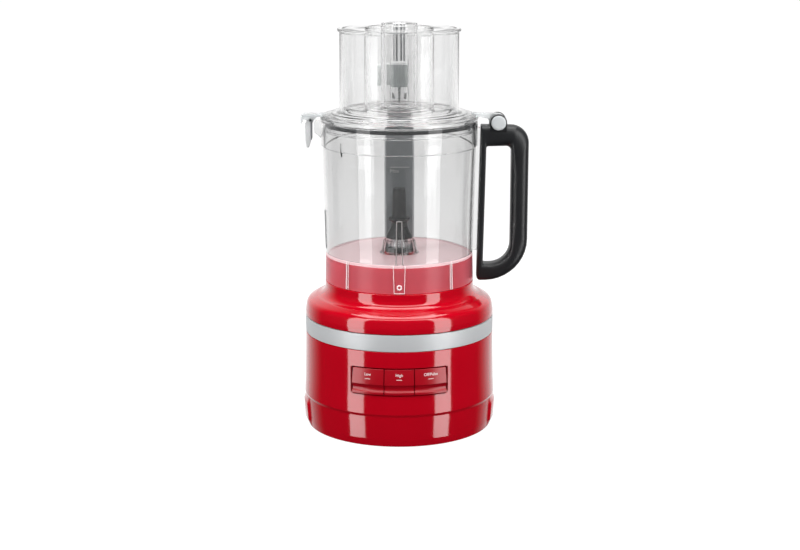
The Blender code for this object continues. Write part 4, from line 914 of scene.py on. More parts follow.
    def key_profile(self) -> Grid:
        """Key section: leaning label face, finger scoop and rolled lip."""
        face = self.key_face_r
        low = self.key_low
        return rounded(
            [
                (face - 0.9 * MM, self.key_high, 0.7 * MM),
                (face + 1.5 * MM, low + 11.6 * MM, 0.7 * MM),
                (face + 0.4 * MM, low + 9.6 * MM, 1.2 * MM),
                (face - 0.8 * MM, low + 6.2 * MM, 3.0 * MM),
                (face + 0.9 * MM, low + 3.9 * MM, 1.4 * MM),
                (face + 1.8 * MM, low + 3.3 * MM, 0.5 * MM),
                (face + 1.8 * MM, low + 0.2 * MM, 0.7 * MM),
                (self.key_back_r, low, 0.4 * MM),
                (self.key_back_r, self.key_high, 0.4 * MM),
            ]
        )

    def keys(self) -> None:
        """Three keys with their stems, and the words on their label faces."""
        split = math.radians(8.7)
        edge = math.asin(0.7 / 106.6)
        end = math.radians(28.3)
        spans = {
            "low": (-end, -split - edge, -33.0 * MM, "Low"),
            "high": (-split + 0.002, split - 0.002, 0.0, "High"),
            "off_pulse": (split + edge, end, 33.0 * MM, "Off/Pulse"),
        }
        profile = self.key_profile()
        for name, (start, stop, x, words) in spans.items():
            shell = sector_of(profile, start, stop, 28)
            root = -math.sqrt((self.key_back_r + 1.5 * MM) ** 2 - x * x)
            tip = -90.0 * MM + abs(x) / 4.0
            stem = rounded(
                [
                    (3.0 * MM, root, 0.0),
                    (3.0 * MM, tip, 0.5 * MM),
                    (0.4 * MM, tip, 0.0),
                    (0.4 * MM, root, 0.0),
                ]
            )
            shell.merge(turned_about(stem, (x, 0.0, 74.5 * MM), "y", 20))
            key = shell.piece("key_" + name, SATIN_RED, 34.0)
            settle(key, name + "_button", ["button_" + name])
            middle = 0.5 * (start + stop)
            self.words(name, words, middle)
        # The key tray and the two end bezels take the darker red: painted shade in the recess.
        dress(["button_tray"], RECESS_SHADE_RED)
        shell = Shell()
        for low in (-52.6, 51.2):
            rim = box_outline((low * MM, 59.4 * MM), ((low + 1.4) * MM, 89.6 * MM), 0.5 * MM)
            shell.merge(slab(rim, -92.2 * MM, -84.0 * MM, 0.3 * MM))
        settle(shell.piece("key_bezel", RECESS_SHADE_RED, 34.0), "base")

    def words(self, name: str, words: str, middle: float) -> None:
        """Print a key's word and the short rule under it on the leaning face.

        Across becomes an angle about the axis and up becomes a height, with the radius on
        the straight line of the face's section.
        """
        low = np.array([self.key_low + 11.6 * MM, self.key_face_r + 1.5 * MM])
        high = np.array([self.key_high, self.key_face_r - 0.9 * MM])
        lean = (high[1] - low[1]) / (high[0] - low[0])

        def lay(points: Grid, rise: float) -> Grid:
            z = rise + points[:, 1]
            r = low[1] + lean * (z - low[0]) + points[:, 2]
            angle = middle + points[:, 0] / self.key_face_r
            return np.stack([AXIS_X + r * np.sin(angle), -r * np.cos(angle), z], axis=1)

        marks = lettering(words, 4.3 * MM, 0.12 * MM)
        label = printed("label_" + name, marks, lambda p: lay(p, 82.4 * MM), WHITE_INK)
        settle(label, name + "_button")
        rule = slab(box_outline((-3.0 * MM, -0.25 * MM), (3.0 * MM, 0.25 * MM), 0.1 * MM),
                    -0.05 * MM, 0.05 * MM, 0.0, "xy")
        strip = rule.piece("rule_" + name, WHITE_INK)
        strip.data.transform(Matrix.Translation((-AXIS_X, 0.0, 0.0)))
        marks = strip.data
        bpy.data.objects.remove(strip, do_unlink=True)
        line = printed("rule_" + name, marks, lambda p: lay(p, 77.6 * MM), WHITE_INK)
        settle(line, name + "_button")

    def gland(self) -> None:
        """Rubber bushing of the cord's way out, with a collar on the outside."""
        profile = rounded(
            [
                (3.4 * MM, 110.9 * MM, 0.5 * MM),
                (6.2 * MM, 110.9 * MM, 0.8 * MM),
                (8.4 * MM, 110.2 * MM, 0.6 * MM),
                (8.4 * MM, 108.4 * MM, 0.4 * MM),
                (6.0 * MM, 108.4 * MM, 0.2 * MM),
                (6.0 * MM, 101.0 * MM, 0.3 * MM),
                (0.5 * MM, 101.0 * MM, 0.0),
                (0.5 * MM, 108.0 * MM, 0.0),
                (3.4 * MM, 108.0 * MM, 0.3 * MM),
            ]
        )
        gland = turned_about(profile, (0.0, 0.0, 20.0 * MM), "y").piece("gland", FOOT_RUBBER)
        settle(gland, "base", ["cord_gland"])

    def feet(self) -> None:
        """Four rubber feet with a rolled rim and a dished face."""
        centre = 60.0 * MM
        profile = rounded(
            [
                (0.0, 8.2 * MM, 0.0),
                (4.0 * MM, 8.2 * MM, 0.4 * MM),
                (4.0 * MM, 3.4 * MM, 0.0),
                (10.0 * MM, 3.4 * MM, 0.6 * MM),
                (10.0 * MM, 0.0, 0.9 * MM),
                (6.5 * MM, 0.0, 0.3 * MM),
                (5.8 * MM, 0.5 * MM, 0.3 * MM),
                (0.0, 0.5 * MM, 0.0),
            ],
            closed=False,
        )
        places = {
            "front_left": (-1, -1),
            "front_right": (1, -1),
            "rear_left": (-1, 1),
            "rear_right": (1, 1),
        }
        for name, (x, y) in places.items():
            foot = turned_open(profile, 48, (x * centre, y * centre))
            piece = foot.piece("rubber_foot_" + name, FOOT_RUBBER)
            settle(piece, "base", ["foot_" + name])

    def inside(self) -> None:
        """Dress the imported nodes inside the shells."""
        dress(["bottom_plate", "motor_end_cap", "interlock_switch"], BLACK_ABS)
        dress(["switch_low", "switch_high", "switch_off_pulse"], BLACK_ABS)
        dress(["motor_can", "motor_pulley", "chassis_plate", "motor_rotor"], GROUND_STEEL)
        dress(["spindle_lower_bearing", "spindle_upper_bearing"], GROUND_STEEL)
        dress(["control_board"], BOARD_GREEN)
        dress(["motor_stator"], COIL_COPPER)
        dress(["drive_belt"], FOOT_RUBBER)
        dress(["spindle_pulley"], DARK_NYLON)
        dress(["shaft_seal"], DARK_SILICONE)




# ---------------------------------------------------------------------------
# Bowl, handle and drive
# ---------------------------------------------------------------------------


@dataclass
class Bowl:
    """Clear work bowl, its frosted floor and skirt, hub, ribs and marks."""

    rim_r: float = 86.6 * MM
    rim_z: float = 345.0 * MM
    mouth_r: float = 82.6 * MM
    step_r: float = 84.9 * MM
    step_z: float = 317.7 * MM
    floor_z: float = 198.0 * MM
    low_r: float = 82.0 * MM
    skirt_r: float = 82.8 * MM
    skirt_z: float = 166.3 * MM
    wall: float = 2.5 * MM

    def build(self) -> None:
        """Build the bowl's pieces."""
        self.clear_wall()
        self.frosted_base()
        self.hub()
        self.front_guide()
        self.skirt_ribs()
        self.level_marks()

    def clear_wall(self) -> None:
        """Wall with a fine step under the rim, the handle's rib and the latch catch."""
        profile = rounded(
            [
                (self.rim_r, self.rim_z, 0.7 * MM),
                (self.rim_r, self.step_z, 0.5 * MM),
                (self.step_r, self.step_z - 1.4 * MM, 0.8 * MM),
                (83.5 * MM, 259.0 * MM, 200.0 * MM),
                (82.8 * MM, 225.0 * MM, 200.0 * MM),
                (self.low_r + 0.2 * MM, self.floor_z + 0.3 * MM, 0.2 * MM),
                (self.low_r - self.wall, self.floor_z + 0.3 * MM, 0.2 * MM),
                (83.3 * MM - self.wall, 259.0 * MM, 200.0 * MM),
                (self.mouth_r - 0.2 * MM, self.step_z, 20.0 * MM),
                (self.mouth_r, self.rim_z, 0.7 * MM),
            ]
        )
        shell = turned(profile, 256)
        wall = shell.piece("bowl_wall", CLEAR_COPOLYESTER, 30.0)
        top_z = 336.5 * MM
        low_z = self.floor_z + 1.0 * MM
        lean = 3.5 / 174.5
        rib = [
            (81.5 * MM, low_z),
            (89.1 * MM - lean * (339.5 * MM - low_z), low_z),
            (89.1 * MM - lean * (339.5 * MM - top_z), top_z),
            (84.6 * MM, top_z),
        ]
        outline = np.array(rib)
        tool = slab(outline, -7.0 * MM, 7.0 * MM, 0.3 * MM).piece("rib", CLEAR_COPOLYESTER)
        corners = [
            (-93.6 * MM, 331.0 * MM, 2.0 * MM),
            (-86.0 * MM, 325.0 * MM, 1.0 * MM),
            (-84.6 * MM, 325.0 * MM, 0.0),
            (-84.6 * MM, 343.8 * MM, 0.0),
            (-93.6 * MM, 343.8 * MM, 2.0 * MM),
        ]
        catch = slab(rounded(corners), -5.5 * MM, 5.5 * MM, 0.8 * MM)
        cut_from(wall, [tool, catch.piece("catch", CLEAR_COPOLYESTER)], "UNION")
        settle(wall, "bowl", ["work_bowl"])

    def frosted_base(self) -> None:
        """Floor with its bead and the skirt below it, milky from its sparked mould, with painted
        pink for the red base glowing through.
        """
        floor = self.floor_z
        inside = self.skirt_r - self.wall
        skirt = rounded(
            [
                (self.low_r + 0.1 * MM, floor - 3.4 * MM, 0.2 * MM),
                (self.skirt_r, self.skirt_z, 0.7 * MM),
                (inside, self.skirt_z, 0.5 * MM),
                (self.low_r - self.wall, floor - 3.4 * MM, 0.2 * MM),
            ]
        )
        piece = turned(skirt, 256).piece("bowl_skirt", FROST_PAINTED_RED_GLOW, 30.0)
        settle(piece, "bowl", ["bowl_floor"])
        bead = rounded(
            [
                (self.low_r + 0.15 * MM, floor + 0.1 * MM, 0.9 * MM),
                (self.low_r + 0.15 * MM, floor - 3.3 * MM, 0.3 * MM),
                (78.3 * MM, floor - 3.3 * MM, 0.3 * MM),
                (78.3 * MM, floor - 0.9 * MM, 0.5 * MM),
                (79.6 * MM, floor + 0.1 * MM, 0.9 * MM),
            ]
        )
        piece = turned(bead, 256).piece("bowl_bead", PALE_FROST_PAINTED_RED_GLOW, 30.0)
        settle(piece, "bowl")
        pan = rounded(
            [
                (78.2 * MM, floor - 0.9 * MM, 0.4 * MM),
                (78.2 * MM, floor - 3.2 * MM, 0.4 * MM),
                (21.9 * MM, floor - 3.2 * MM, 0.3 * MM),
                (21.9 * MM, floor, 0.2 * MM),
                (74.0 * MM, floor, 2.0 * MM),
            ]
        )
        piece = turned(pan, 256).piece("bowl_pan", PALE_FROST_PAINTED_RED_GLOW, 30.0)
        settle(piece, "bowl")

    def hub(self) -> None:
        """Clear cone in the middle of the floor, with shallow flutes.

        The radius of the outer face gains a cosine of 16 lobes, 0.25 mm high, that fades
        toward the top.
        """
        floor = self.floor_z
        profile = rounded(
            [
                (21.6 * MM, floor, 0.2 * MM),
                (21.6 * MM, floor - 3.0 * MM, 0.2 * MM),
                (18.0 * MM, floor - 3.0 * MM, 0.4 * MM),
                (15.2 * MM, 211.4 * MM, 0.4 * MM),
                (17.2 * MM, 211.4 * MM, 0.8 * MM),
                (19.8 * MM, floor + 1.0 * MM, 0.6 * MM),
            ]
        )
        angle = np.linspace(0.0, math.tau, 192, endpoint=False)
        r = profile[:, 0][:, None]
        z = np.broadcast_to(profile[:, 1][:, None], (len(profile), 192))
        outer = (r > 17.0 * MM) & (z > floor + 0.5 * MM)
        flute = 0.25 * MM * np.cos(16.0 * angle)[None, :] * outer
        grid = np.stack(
            [AXIS_X + (r + flute) * np.cos(angle), (r + flute) * np.sin(angle), z], axis=2
        )
        hub = Shell().surface(grid, Wrap.BOTH).piece("bowl_hub", CLEAR_COPOLYESTER, 30.0)
        settle(hub, "bowl")

    def front_guide(self) -> None:
        """Raised arch on the front wall that lines the bowl up, as two thin bars and a cap."""
        shell = Shell()
        half = 3.4 * MM
        for side in (-1.0, 1.0):
            bar = rounded(
                [
                    (side * half - 0.5 * MM, self.floor_z + 0.4 * MM, 0.1 * MM),
                    (side * half + 0.5 * MM, self.floor_z + 0.4 * MM, 0.1 * MM),
                    (side * half * 0.8 + 0.45 * MM, 246.0 * MM, 0.3 * MM),
                    (side * half * 0.8 - 0.45 * MM, 246.0 * MM, 0.3 * MM),
                ]
            )
            shell.merge(slab(bar, -79.4 * MM, -78.4 * MM, 0.25 * MM))
        cap = box_outline((-2.2 * MM, 245.2 * MM), (2.2 * MM, 246.3 * MM), 0.3 * MM)
        shell.merge(slab(cap, -79.4 * MM, -78.4 * MM, 0.2 * MM))
        guide = shell.piece("bowl_guide", PALE_COPOLYESTER)
        settle(guide, "bowl")

    def skirt_ribs(self) -> None:
        """Pale raised ribs on the skirt and the front channel with its locating ring."""
        shell = Shell()
        low = self.skirt_z + 0.6 * MM
        high = self.floor_z - 0.4 * MM
        bar = rounded(
            [
                (self.skirt_r + 0.55 * MM, low, 0.2 * MM),
                (self.skirt_r - 0.6 * MM, low, 0.0),
                (self.low_r - 0.6 * MM, high, 0.0),
                (self.low_r + 0.45 * MM, high, 0.2 * MM),
            ]
        )
        lines = [
            (-43.9, 0.45),
            (-42.2, 0.2),
            (43.9, 0.45),
            (42.2, 0.2),
            (133.0, 0.4),
            (-133.0, 0.4),
        ]
        for degrees, half in lines:
            middle = math.radians(degrees)
            width = math.radians(half)
            shell.merge(sector_of(bar, middle - width, middle + width, 2))
        for side in (-1.0, 1.0):
            top = side * 6.4 * MM
            foot = side * 5.5 * MM
            outline = np.array(
                [(foot - 0.32 * MM, low), (foot + 0.32 * MM, low),
                 (top + 0.32 * MM, high), (top - 0.32 * MM, high)]
            )
            shell.merge(slab(outline, -self.skirt_r - 0.35 * MM, -81.0 * MM, 0.15 * MM))
        sill = box_outline((-5.6 * MM, low), (5.6 * MM, low + 0.7 * MM), 0.2 * MM)
        shell.merge(slab(sill, -self.skirt_r - 0.35 * MM, -81.4 * MM, 0.15 * MM))
        ring = rounded(
            [
                (3.0 * MM, -83.4 * MM, 0.3 * MM),
                (3.0 * MM, -82.2 * MM, 0.0),
                (1.5 * MM, -82.2 * MM, 0.0),
                (1.5 * MM, -83.4 * MM, 0.3 * MM),
            ]
        )
        shell.merge(turned_about(ring, (0.0, 0.0, 173.8 * MM), "y", 32))
        ribs = shell.piece("skirt_ribs", PALE_COPOLYESTER)
        settle(ribs, "bowl")

    def level_marks(self) -> None:
        """Fine moulded lines outside the wall: notches under the rim at the left front."""
        shell = Shell()
        bar = np.array(
            [
                (self.rim_r + 0.05 * MM, 312.0 * MM),
                (self.rim_r + 0.05 * MM, 327.0 * MM),
                (self.rim_r - 0.35 * MM, 327.0 * MM),
                (self.rim_r - 0.35 * MM, 318.6 * MM),
                (self.step_r - 0.25 * MM, 316.0 * MM),
                (self.step_r - 0.25 * MM, 312.0 * MM),
                (self.step_r + 0.35 * MM, 312.0 * MM),
            ]
        )
        bar = bar[[6, 1, 2, 3, 4, 5]]
        for degrees in (-47.0, -46.2):
            middle = math.radians(degrees)
            shell.merge(sector_of(bar, middle - 0.0018, middle + 0.0018, 1))
        slit = np.array(
            [
                (82.9 * MM, 203.0 * MM),
                (83.9 * MM, 246.0 * MM),
                (82.9 * MM, 246.0 * MM),
                (81.9 * MM, 203.0 * MM),
            ]
        )
        shell.merge(sector_of(slit, math.radians(-81.5), math.radians(-80.3), 1))
        marks = shell.piece("bowl_notches", SMOKE_COPOLYESTER)
        settle(marks, "bowl")


@dataclass
class Handle:
    """Looped handle, its screws, and the hinge cheeks with their pin and disc caps."""

    bar_x: float = 89.9 * MM
    lean: float = 3.5 * MM
    out_x: float = 143.2 * MM
    low_z: float = 165.0 * MM
    top_z: float = 339.5 * MM
    half: float = 12.5 * MM
    hinge: tuple[float, float] = (108.9 * MM, 342.7 * MM)

    def build(self) -> None:
        """Build the handle's pieces."""
        self.loop()
        self.cheeks()
        self.caps()
        dress(["hinge_pin"], GROUND_STEEL)

    def at_bar(self, z: float) -> float:
        """X of the bowl-side face at a height."""
        return self.bar_x - self.lean * (self.top_z - z) / (self.top_z - self.low_z)

    def loop(self) -> None:
        """Carry a superellipse round the loop between its outer and its inner outline.

        Both outlines are read at the same angles about the middle of the finger hole. The
        section reaches from one to the other with half depth b, as
        (|cos t| ** (2 / n), b |sin t| ** (2 / n)) with signs kept. n is 2.6 at the grip, so
        that it is round in the hand, and rises to 6 along the bowl.
        """
        grip = self.out_x - 19.8 * MM
        outer = rounded(
            [
                (self.out_x, self.low_z, 46.0 * MM),
                (self.out_x, self.top_z, 20.0 * MM),
                (self.at_bar(self.top_z), self.top_z, 1.0 * MM),
                (self.at_bar(self.low_z), self.low_z, 4.0 * MM),
            ]
        )
        shift = 6.7 * MM
        inner = rounded(
            [
                (grip, 184.0 * MM, 24.0 * MM),
                (grip, 316.0 * MM, 5.5 * MM),
                (self.at_bar(316.0 * MM) + shift, 316.0 * MM, 2.0 * MM),
                (self.at_bar(184.0 * MM) + shift, 184.0 * MM, 2.0 * MM),
            ]
        )
        middle = np.array([110.0 * MM, 250.0 * MM])
        stations = resampled(outer, 1.2 * MM)
        angle = np.sort(np.arctan2(*(stations - middle).T[::-1]))
        far = middle + ray_reach(outer, middle, angle)
        near = middle + ray_reach(inner, middle, angle)
        t = np.linspace(0.0, math.tau, 56, endpoint=False)
        right = smooth_step(np.cos(angle), -0.5, 0.2)
        power = 2.0 / (6.0 - 3.4 * right)[:, None]
        across = np.sign(np.cos(t)) * np.abs(np.cos(t)) ** power
        deep = np.sign(np.sin(t)) * np.abs(np.sin(t)) ** power
        centre = 0.5 * (far + near)
        reach = 0.5 * (far - near)
        x = centre[:, 0:1] + reach[:, 0:1] * across
        z = centre[:, 1:2] + reach[:, 1:2] * across
        y = self.half * deep
        grid = np.stack([AXIS_X + x, y, z], axis=2)
        loop = Shell().surface(grid, Wrap.BOTH).piece("handle_loop", BLACK_NYLON, 50.0)
        hidden = ["bowl_handle", "handle_screw_low", "handle_screw_high"]
        settle(loop, "bowl", hidden)

    def cheeks(self) -> None:
        """Two round cheeks that hold the pin, each with a web down to the handle."""
        shell = Shell()
        x, z = self.hinge
        for side in (-1.0, 1.0):
            outline = rounded(
                [
                    (x - 9.3 * MM, self.top_z - 6.0 * MM, 0.0),
                    (x + 9.3 * MM, self.top_z - 6.0 * MM, 0.0),
                    (x + 9.3 * MM, z + 9.3 * MM, 9.2 * MM),
                    (x - 9.3 * MM, z + 9.3 * MM, 9.2 * MM),
                ]
            )
            low, high = sorted((side * 6.4 * MM, side * 13.0 * MM))
            shell.merge(slab(outline, low, high, 0.7 * MM))
        cheeks = shell.piece("hinge_cheeks", BLACK_NYLON)
        settle(cheeks, "bowl")

    def caps(self) -> None:
        """Pale domed discs over the pin's ends."""
        x, z = self.hinge
        for name, side in {"front": -1.0, "rear": 1.0}.items():
            profile = rounded(
                [
                    (0.0, 13.2 * MM, 0.0),
                    (8.1 * MM, 13.2 * MM, 0.2 * MM),
                    (8.1 * MM, 13.9 * MM, 0.5 * MM),
                    (6.4 * MM, 14.5 * MM, 1.0 * MM),
                    (0.0, 14.65 * MM, 0.0),
                ],
                closed=False,
            )
            profile[:, 1] *= side
            cap = turned_about(profile, (x, 0.0, z), "y", 64, Wrap.AROUND)
            piece = cap.piece("hinge_disc_" + name, PALE_ABS)
            settle(piece, "bowl", ["hinge_cap_" + name])


@dataclass
class Drive:
    """Adapter post, the bright spindle under it, and the hub seal."""

    def build(self) -> None:
        """Build the pieces that turn in the bowl."""
        self.adapter()
        self.spindle()
        dress(["hub_seal"], DARK_SILICONE)

    def adapter(self) -> None:
        """Dark post with a ring flange and a flared foot with eight flutes.

        Below the flange the radius gains a cosine of eight lobes.
        """
        profile = rounded(
            [
                (0.0, 269.5 * MM, 0.0),
                (6.6 * MM, 269.5 * MM, 1.4 * MM),
                (7.5 * MM, 262.0 * MM, 6.0 * MM),
                (8.5 * MM, 235.6 * MM, 0.3 * MM),
                (12.2 * MM, 235.4 * MM, 0.6 * MM),
                (12.2 * MM, 233.4 * MM, 0.6 * MM),
                (8.6 * MM, 230.6 * MM, 1.6 * MM),
                (10.2 * MM, 224.0 * MM, 6.0 * MM),
                (15.0 * MM, 215.6 * MM, 1.0 * MM),
                (15.2 * MM, 213.4 * MM, 0.5 * MM),
                (0.0, 213.4 * MM, 0.0),
            ],
            closed=False,
        )
        angle = np.linspace(0.0, math.tau, 192, endpoint=False)
        profile = resampled(profile, 0.6 * MM, closed=False)
        r = profile[:, 0][:, None]
        z = np.broadcast_to(profile[:, 1][:, None], (len(profile), 192))
        low = smooth_step(-z, -229.0 * MM, -226.0 * MM) * (r > 1.0 * MM)
        flute = -0.35 * MM * (1.0 + np.cos(8.0 * angle))[None, :] * low
        grid = np.stack(
            [AXIS_X + (r + flute) * np.cos(angle), (r + flute) * np.sin(angle), z], axis=2
        )
        post = Shell().surface(grid, Wrap.AROUND).piece("adapter_post", DARK_NYLON, 40.0)
        settle(post, "adapter", ["drive_adapter"])

    def spindle(self) -> None:
        """Faceted bright head that the adapter drives on, on the round shaft."""
        profile = rounded(
            [
                (0.0, 213.0 * MM, 0.0),
                (9.8 * MM, 213.0 * MM, 0.5 * MM),
                (11.4 * MM, 196.0 * MM, 0.6 * MM),
                (11.4 * MM, 193.0 * MM, 0.4 * MM),
                (5.0 * MM, 193.0 * MM, 0.2 * MM),
                (5.0 * MM, 95.8 * MM, 0.5 * MM),
                (0.0, 95.8 * MM, 0.0),
            ],
            closed=False,
        )
        angle = np.linspace(0.0, math.tau, 120, endpoint=False)
        r = profile[:, 0][:, None]
        z = np.broadcast_to(profile[:, 1][:, None], (len(profile), 120))
        sector = (angle + math.pi / 10.0) % (math.pi / 5.0) - math.pi / 10.0
        facet = math.cos(math.pi / 10.0) / np.cos(sector)
        scale = np.where(r > 6.0 * MM, facet[None, :], 1.0)
        grid = np.stack([AXIS_X + r * scale * np.cos(angle), r * scale * np.sin(angle), z], axis=2)
        head = Shell().surface(grid, Wrap.AROUND).piece("spindle_head", GROUND_STEEL, 20.0)
        settle(head, "spindle", ["drive_spindle"])


@dataclass
class Channel:
    """Smoked channel behind the bowl with the interlock rod and the fill mark."""

    half: float = 16.9 * MM
    back_r: float = 95.0 * MM
    low_z: float = 168.2 * MM
    top_z: float = 339.8 * MM

    def build(self) -> None:
        """Build the channel, its rod and its mark."""
        profile = rounded(
            [
                (self.back_r, self.top_z, 2.0 * MM),
                (self.back_r, self.low_z, 1.0 * MM),
                (83.7 * MM, self.low_z, 0.3 * MM),
                (82.9 * MM, 198.0 * MM, 0.0),
                (83.7 * MM, 225.0 * MM, 0.0),
                (84.4 * MM, 259.0 * MM, 0.0),
                (85.8 * MM, 315.2 * MM, 0.0),
                (87.5 * MM, 316.2 * MM, 0.3 * MM),
                (87.5 * MM, self.top_z, 0.4 * MM),
            ]
        )
        span = math.asin(self.half / 91.0 / MM)
        shell = sector_of(profile, math.pi - span, math.pi + span, 24)
        channel = shell.piece("channel_cover", CHANNEL_SMOKE, 30.0)
        round_hole = circle_outline((0.0, 91.0 * MM), 2.5 * MM, 24)
        hole = slab(round_hole, 150.0 * MM, 350.0 * MM, 0.0, "xy")
        cut_from(channel, [hole.piece("rod_hole", CHANNEL_SMOKE)], "DIFFERENCE")
        settle(channel, "bowl", ["interlock_channel"])
        dress(["interlock_rod"], GROUND_STEEL)
        self.mark()

    def mark(self) -> None:
        """Line and the word Max, printed on the bowl side of the channel."""

        def lay(points: Grid) -> Grid:
            z = points[:, 1]
            r = 82.78 * MM + 0.0205 * (z - 225.0 * MM) + points[:, 2]
            angle = points[:, 0] / 83.5e-3
            return np.stack([AXIS_X + r * np.sin(angle), r * np.cos(angle), z], axis=1)

        words = lettering("Max", 6.6 * MM, 0.1 * MM)
        words.transform(Matrix.Translation((-5.6 * MM, 276.2 * MM, 0.0)))
        label = printed("max_word", words, lay, WHITE_INK)
        settle(label, "bowl")
        line = slab(box_outline((-11.0 * MM, 280.6 * MM), (11.2 * MM, 281.5 * MM), 0.2 * MM),
                    -0.05 * MM, 0.05 * MM, 0.0, "xy")
        strip = line.piece("line", WHITE_INK)
        flat = strip.data
        flat.transform(Matrix.Translation((-AXIS_X, 0.0, 0.0)))
        bpy.data.objects.remove(strip, do_unlink=True)
        rule = printed("max_line", flat, lay, WHITE_INK)
        settle(rule, "bowl")


# ---------------------------------------------------------------------------
# Lid and pushers
# ---------------------------------------------------------------------------


